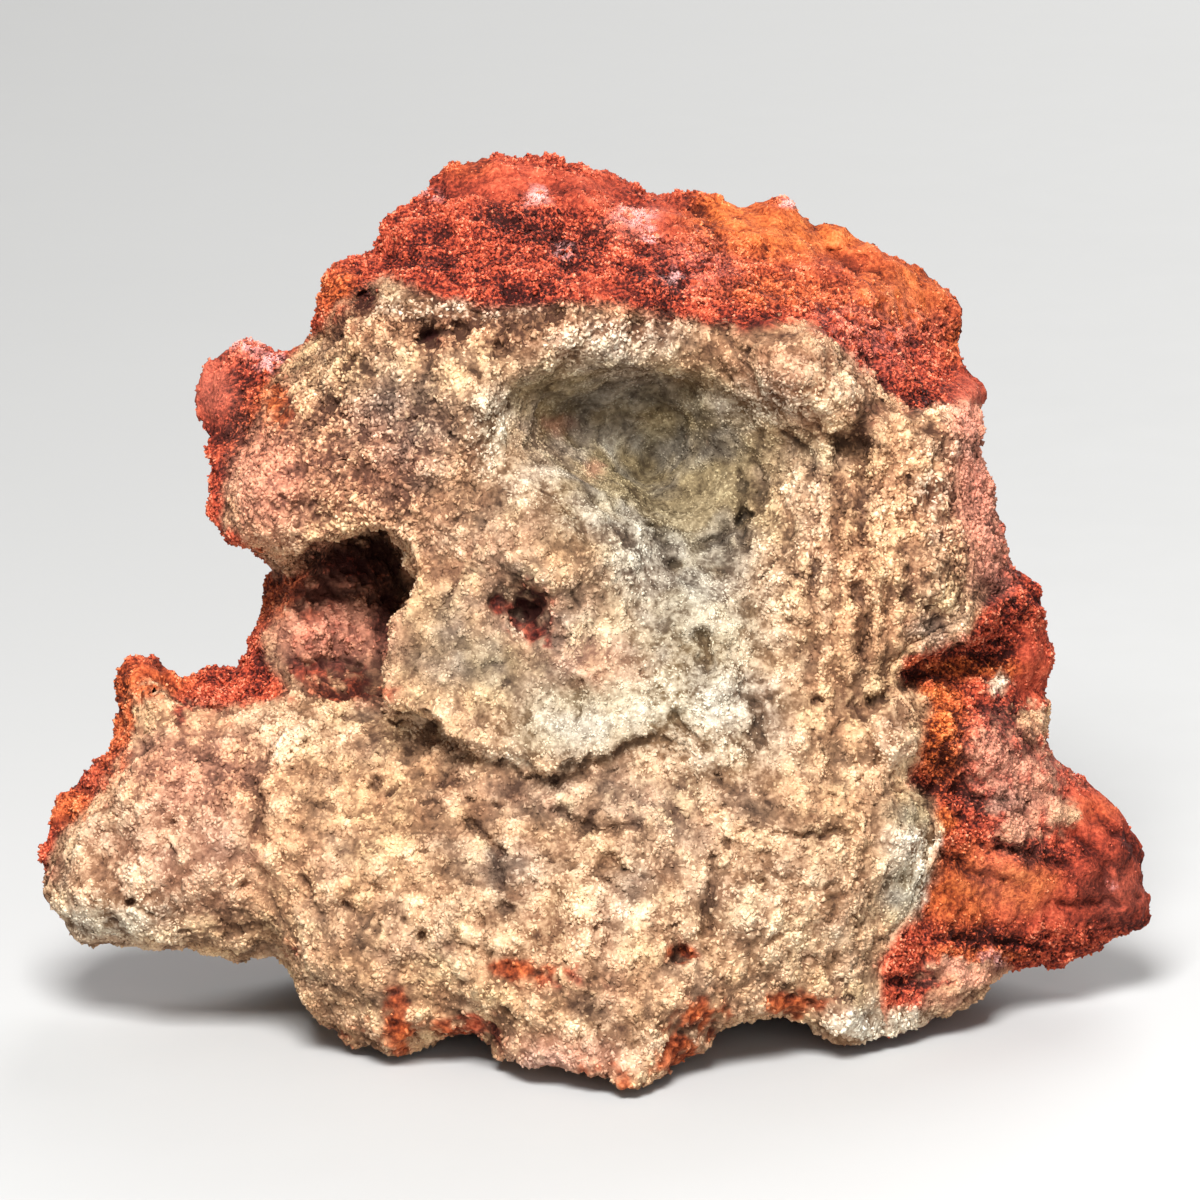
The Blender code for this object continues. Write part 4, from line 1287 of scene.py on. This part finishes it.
    def dress(self) -> None:
        """Keeps the zones on the mesh and gives it its finish."""
        mesh = self.piece.data
        points = read_points(mesh)
        normals = read_normals(mesh)
        for name, values in Zones.at(points, normals, self.is_crust).masks().items():
            write_mask(mesh, name, values)
        write_mask(mesh, "tint", np.clip(1.05 - 1.2 * pebbles(points / MM, 0.8, 51), 0, 1))
        mesh.materials.clear()
        mesh.materials.append(self.finish.make())
        mesh.shade_smooth()
        join_to_frame(self.piece, self.node)


def join_to_frame(piece: bpy.types.Object, node: str) -> None:
    """Lets a piece ride on the body and stand for a node.

    Args:
        piece: The piece.
        node: The node, whose solid it hides.
    """
    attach(piece, "root")
    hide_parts(node)


@dataclass
class CrystalCover:
    """Crystals grown over a body, as one mesh.

    Attributes:
        name: The piece's name.
        body: The body that they grow on.
        finish: Their finish.
        count: How many there are.
        length_mm: Shortest and longest crystal.
        face_share: How much denser they are on the broken face than elsewhere.
        seed: Picks the arrangement.
        raised: Lowest and highest place over the surface, for each unit of half width.
        on_rust: Whether they belong to the crust rather than to the matrix.
        habit: Their shape.
        slender: Width and thickness for each unit of length.
        brighter: How much lighter they are than the surface's own shade.
        lit_tops: How much lighter their tops are than their roots, as painted light on the tops and
            painted shade at the roots.
    """

    name: str
    body: RockBody
    finish: MineralFinish
    count: int
    length_mm: tuple[float, float]
    face_share: float
    seed: int
    raised: tuple[float, float]
    on_rust: bool = False
    habit: Habit = Habit.GRAIN
    slender: tuple[float, float] = (0.85, 0.75)
    brighter: float = 0.0
    lit_tops: float = 0.26

    def build(self) -> bpy.types.Object:
        """Grows the crystals.

        Returns:
            The finished piece.
        """
        count = self.count // 1
        draw = np.random.default_rng(self.seed)
        roots, normals, relief = self.roots(draw, count)
        zones = Zones.at(roots, normals, self.body.is_crust)
        crumbly = np.maximum(zones.crisp, zones.rust)
        corners, faces = self.habit_shape()
        size = self.sizes(draw, count, zones)
        points = self.shapes(draw, corners, size, self.axes(draw, count, normals))
        raised = (draw.uniform(*self.raised, count) - 0.3 * (1 - crumbly)) * size[:, 1]
        # Painted light and shade: each crystal is lighter at its top and darker at its root.
        rise = np.einsum("nij,nj->ni", points, normals) / size.mean(axis=1)[:, None]
        lit = self.lit_tops * (0.2 + 0.8 * crumbly)
        relief = np.clip(relief[:, None] + lit[:, None] * rise, 0, 1).ravel()
        points += (roots / MM + normals * raised[:, None])[:, None, :]
        points[:, :, 2] = np.maximum(points[:, :, 2], 0.0)
        per_crystal = len(corners)
        mesh = self.mesh(points.reshape(-1, 3) * MM, faces, count, per_crystal)
        spread = 0.05 + 0.18 * crumbly
        tint = 0.5 + spread * draw.normal(size=count) + 0.22 * swell(roots / MM, 1.9, 52)
        tint = np.clip(tint + 0.08 * zones.pale + self.brighter, 0, 1)
        for name, values in {**zones.masks(), "tint": tint}.items():
            write_mask(mesh, name, np.repeat(values, per_crystal))
        write_mask(mesh, "relief", relief)
        mesh.materials.append(self.finish.make())
        if self.habit is Habit.GRAIN:
            mesh.shade_smooth()
        piece = new_piece(self.name, mesh)
        join_to_frame(piece, self.body.node)
        return piece

    def shapes(
        self, draw: np.random.Generator, corners: np.ndarray, size: np.ndarray, axes: np.ndarray
    ) -> np.ndarray:
        """Shapes each crystal a little differently, and turns it.

        Args:
            draw: Source of random numbers.
            corners: Corners of one crystal, each side from -1 to 1.
            size: Half length, half width and half thickness of each crystal.
            axes: The axes of each crystal, as columns.

        Returns:
            The corners of each crystal about its own middle, in millimetres.
        """
        points = corners[None] * size[:, None, :]
        taper = draw.uniform(0.55, 1.0, (len(size), 1))
        points[:, :, 1:] *= np.where(corners[None, :, :1] > 0, taper[:, :, None], 1)
        points += draw.uniform(-0.1, 0.1, points.shape) * size.mean(axis=1)[:, None, None]
        return np.einsum("nij,nkj->nki", axes, points)

    def roots(
        self, draw: np.random.Generator, count: int
    ) -> tuple[np.ndarray, np.ndarray, np.ndarray]:
        """Picks where the crystals grow.

        Args:
            draw: Source of random numbers.
            count: How many there are.

        Returns:
            Their roots in metres, the normals there, and the relief there.
        """
        mesh = self.body.piece.data
        points = read_points(mesh)
        triangles = read_triangles(mesh)
        corners = points[triangles]
        cross = np.cross(corners[:, 1] - corners[:, 0], corners[:, 2] - corners[:, 0])
        area = np.linalg.norm(cross, axis=1)
        normals = cross / (area[:, None] + 1e-15)
        rust = read_mask(mesh, "rust")[triangles].mean(axis=1)
        share = rust if self.on_rust else 1 - rust
        facing = ease((normals @ np.array(SURVEY.toward_camera()) + 0.35) / 0.5)
        open_air = 1 - read_mask(mesh, "contact")[triangles].mean(axis=1)
        proud = 0.2 + ease((read_mask(mesh, "relief")[triangles].mean(axis=1) - 0.2) / 0.45)
        weight = area * share**1.5 * (1 + (self.face_share - 1) * facing) * open_air**2 * proud
        if self.habit is Habit.BLADE:
            weight *= Zones.at(corners.mean(axis=1), normals, self.body.is_crust).glint ** 2 + 0.002
        else:
            weight *= (1 - 0.93 * read_mask(mesh, "dust")[triangles].mean(axis=1) * rust) ** 2
        chosen = draw.choice(len(triangles), count, p=weight / weight.sum())
        blend = draw.dirichlet((1, 1, 1), count)
        roots = (corners[chosen] * blend[:, :, None]).sum(axis=1)
        smooth = read_normals(mesh)[triangles[chosen]].mean(axis=1)
        smooth /= np.linalg.norm(smooth, axis=1, keepdims=True)
        return roots, smooth, read_mask(mesh, "relief")[triangles[chosen]].mean(axis=1)

    def sizes(self, draw: np.random.Generator, count: int, zones: Zones) -> np.ndarray:
        """Picks each crystal's size.

        Args:
            draw: Source of random numbers.
            count: How many there are.
            zones: The zones at their roots.

        Returns:
            Half length, half width and half thickness in millimetres, as rows.
        """
        low, high = self.length_mm
        length = low + (high - low) * draw.beta(1.6, 3.2, count)
        length *= (1 - 0.45 * zones.green) * (1 - 0.4 * zones.dust)
        wide = self.slender[0] * draw.uniform(0.75, 1.3, count)
        thick = self.slender[1] * draw.uniform(0.75, 1.3, count)
        return 0.5 * np.column_stack([length, length * wide, length * thick])

    def axes(self, draw: np.random.Generator, count: int, normals: np.ndarray) -> np.ndarray:
        """Picks how each crystal lies.

        Args:
            draw: Source of random numbers.
            count: How many there are.
            normals: Unit normals at their roots.

        Returns:
            The axes of length, width and thickness of each crystal, as columns.
        """
        lean = 0.1 if self.habit is Habit.GRAIN else 1.0
        along = draw.normal(size=(count, 3))
        along /= np.linalg.norm(along, axis=1, keepdims=True)
        along += lean * normals
        along /= np.linalg.norm(along, axis=1, keepdims=True)
        across = np.cross(along, draw.normal(size=(count, 3)))
        across /= np.linalg.norm(across, axis=1, keepdims=True)
        return np.stack([along, across, np.cross(along, across)], axis=2)

    def habit_shape(self) -> tuple[np.ndarray, np.ndarray]:
        """Gives the corners and triangles of one crystal, each side from -1 to 1.

        Returns:
            Corners as rows, and triangles as rows of corner numbers.
        """
        if self.habit is Habit.BLADE:
            ring = [(1, 0.2), (0.35, 1), (-0.35, 1), (-1, -0.2), (-0.35, -1), (0.35, -1)]
        else:
            ring = [(1, 0), (-0.5, 0.87), (-0.5, -0.87)]
        sides = len(ring)
        corners = [(x, y, z) for x in (-1, 1) for y, z in ring]
        faces = []
        for i in range(sides):
            j = (i + 1) % sides
            faces += [(i, j, j + sides), (i, j + sides, i + sides)]
        for i in range(1, sides - 1):
            faces += [(0, i + 1, i), (sides, sides + i, sides + i + 1)]
        return np.array(corners, float), np.array(faces)

    def mesh(
        self, points: np.ndarray, faces: np.ndarray, count: int, per_crystal: int
    ) -> bpy.types.Mesh:
        """Joins all the crystals in one mesh.

        Args:
            points: All corners in metres, crystal by crystal.
            faces: The triangles of one crystal.
            count: How many crystals there are.
            per_crystal: How many corners each has.

        Returns:
            The mesh, facing out.
        """
        every = (faces[None] + np.arange(count)[:, None, None] * per_crystal).reshape(-1, 3)
        a, b, c = (points[every[:, i]] for i in range(3))
        centre = points.reshape(count, per_crystal, 3).mean(axis=1)
        out = (np.cross(b - a, c - a) * (a - np.repeat(centre, len(faces), axis=0))).sum(axis=1)
        flip = out < 0
        every[flip] = every[flip][:, ::-1]
        mesh = bpy.data.meshes.new(self.name)
        mesh.vertices.add(len(points))
        mesh.vertices.foreach_set("co", points.astype(np.float32).ravel())
        mesh.loops.add(every.size)
        mesh.loops.foreach_set("vertex_index", every.astype(np.int32).ravel())
        mesh.polygons.add(len(every))
        mesh.polygons.foreach_set("loop_start", np.arange(0, every.size, 3, dtype=np.int32))
        mesh.update(calc_edges=True)
        mesh.validate()
        return mesh


@dataclass
class Studio:
    """Plain floor, soft light and the camera.

    Attributes:
        lens_mm: Focal length that frames the survey at the camera's distance.
        sensor_mm: Width of the camera's sensor.
        floor_m: Side of the floor.
        aim_m: Point of the specimen that the lights are aimed at.
        sky: Brightness of the light from all round.
        sky_colour: Colour of that light.
    """

    lens_mm: float = 400.0
    sensor_mm: float = 36.0
    floor_m: float = 6.0
    aim_m: tuple[float, float, float] = (0.0, 0.0, 0.035)
    sky: float = 0.24
    sky_colour: Colour = (1.0, 0.99, 0.97)

    def build(self) -> None:
        """Sets up the floor, the lights and the camera."""
        self.lay_floor()
        self.light("key_light", place=(-0.06, -0.42, 0.52), side=0.24, power=9.0)
        self.light("front_fill", place=(0.15, -0.82, 0.16), side=0.60, power=2.8)
        self.light("back_fill", place=(0.25, 0.65, 0.45), side=0.50, power=4.2)
        self.hang_sky()
        self.place_camera()
        bpy.context.scene.view_settings.view_transform = "Standard"

    def lay_floor(self) -> None:
        """Lays a pale plane under the specimen."""
        half = self.floor_m / 2
        mesh = bpy.data.meshes.new("floor")
        corners = [(-half, -half, 0), (half, -half, 0), (half, half, 0), (-half, half, 0)]
        mesh.from_pydata(corners, [], [(0, 1, 2, 3)])
        mesh.materials.append(FloorFinish().make())
        new_piece("floor", mesh)

    def light(self, name: str, place: tuple[float, float, float], side: float, power: float) -> None:
        """Hangs a square soft light aimed at the specimen.

        Args:
            name: The light's name.
            place: Where it hangs, in metres.
            side: Its side in metres.
            power: Its power in watts.
        """
        lamp = bpy.data.lights.new(name, "AREA")
        lamp.size = side
        lamp.energy = power
        holder = bpy.data.objects.new(name, lamp)
        holder.location = place
        aim = Vector(self.aim_m) - Vector(place)
        holder.rotation_euler = aim.to_track_quat("-Z", "Y").to_euler()
        bpy.context.scene.collection.objects.link(holder)

    def hang_sky(self) -> None:
        """Sets the even light from all round."""
        world = bpy.data.worlds.new("studio")
        world.use_nodes = True
        back = world.node_tree.nodes["Background"]
        back.inputs["Color"].default_value = (*self.sky_colour, 1)
        back.inputs["Strength"].default_value = self.sky
        bpy.context.scene.world = world

    def place_camera(self) -> None:
        """Places the camera where the survey was made from."""
        camera = bpy.data.cameras.new("camera")
        camera.lens = self.lens_mm
        camera.sensor_width = self.sensor_mm
        camera.clip_end = 20
        holder = bpy.data.objects.new("camera", camera)
        lean = math.radians(SURVEY.lean_deg)
        turn = Matrix((
            (1, 0, 0),
            (0, math.sin(lean), -math.cos(lean)),
            (0, math.cos(lean), math.sin(lean)),
        ))
        holder.matrix_world = Matrix.Translation(SURVEY.camera_place()) @ turn.to_4x4()
        bpy.context.scene.collection.objects.link(holder)
        bpy.context.scene.camera = holder


def report_piece(piece: bpy.types.Object) -> None:
    """Logs a finished piece and its triangles."""
    LOG.info("%s: %d triangles", piece.name, len(read_triangles(piece.data)))


def finishes() -> tuple[MineralFinish, ...]:
    """Names the specimen's finishes.

    Returns:
        Finish of the matrix between its grains, of the crust's own surface, of the pale grains, of
        the crust's crystals and of its blades.
    """
    return (
        # between_grains sits darker on the colours than the grains: painted shade in the gaps between
        # them.
        MineralFinish(
            "between_grains", base_shade=0.42, tint_share=0.22, roughness=(0.78, 0.95),
            relief_mm=0.08, speckle_mm=0.42, mottle=1.7,
        ),
        MineralFinish(
            "crust_surface", base_shade=0.52, tint_share=0.22, roughness=(0.78, 0.95),
            relief_mm=0.12, speckle_mm=0.34, mottle=3.0,
        ),
        MineralFinish(
            "sugar_grains", base_shade=0.51, tint_share=0.60, roughness=(0.5, 0.8),
            relief_mm=0.03, speckle_mm=0.42, mottle=0.9,
        ),
        MineralFinish(
            "stilbite_crystals", base_shade=0.55, tint_share=0.70, roughness=(0.45, 0.75),
            relief_mm=0.03, speckle_mm=0.34, mottle=1.4,
        ),
        MineralFinish(
            "stilbite_blades", base_shade=0.78, tint_share=0.50, roughness=(0.25, 0.45),
            relief_mm=0.02, speckle_mm=0.34, mottle=0.4,
        ),
    )


def main() -> None:
    """Builds the specimen and its studio."""
    logging.basicConfig(level=logging.INFO, format="%(name)s: %(message)s")
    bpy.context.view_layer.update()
    ground, crumb, sugar, spark, pearl = finishes()
    matrix = RockBody("matrix", "stilbite_crust", False, ground)
    crust = RockBody("stilbite_crust", "matrix", True, crumb, most_triangles=170_000)
    for body in (matrix, crust):
        report_piece(body.build())
    covers = (
        CrystalCover(
            "matrix_grains_coarse", matrix, sugar, count=23_500, length_mm=(0.45, 0.95),
            face_share=9.0, seed=1, raised=(-0.55, 0.0),
        ),
        CrystalCover(
            "matrix_grains_fine", matrix, sugar, count=23_500, length_mm=(0.30, 0.62),
            face_share=9.0, seed=2, raised=(-0.5, 0.1), slender=(0.9, 0.8), brighter=0.04,
        ),
        CrystalCover(
            "crust_crystals", crust, spark, count=23_500, length_mm=(0.26, 0.60),
            face_share=5.0, seed=3, raised=(-0.5, 0.15), on_rust=True,
        ),
        CrystalCover(
            "crust_grains", crust, sugar, count=6_000, length_mm=(0.35, 0.75),
            face_share=9.0, seed=5, raised=(-0.5, 0.1),
        ),
        CrystalCover(
            "crust_blades", crust, pearl, count=900, length_mm=(0.3, 0.8),
            face_share=8.0, seed=4, raised=(-0.3, 0.3), on_rust=True,
            habit=Habit.BLADE, slender=(0.5, 0.16), brighter=0.1,
        ),
    )
    for cover in covers:
        report_piece(cover.build())
    Studio().build()
    bpy.context.view_layer.update()


if __name__ == "__main__":
    main()
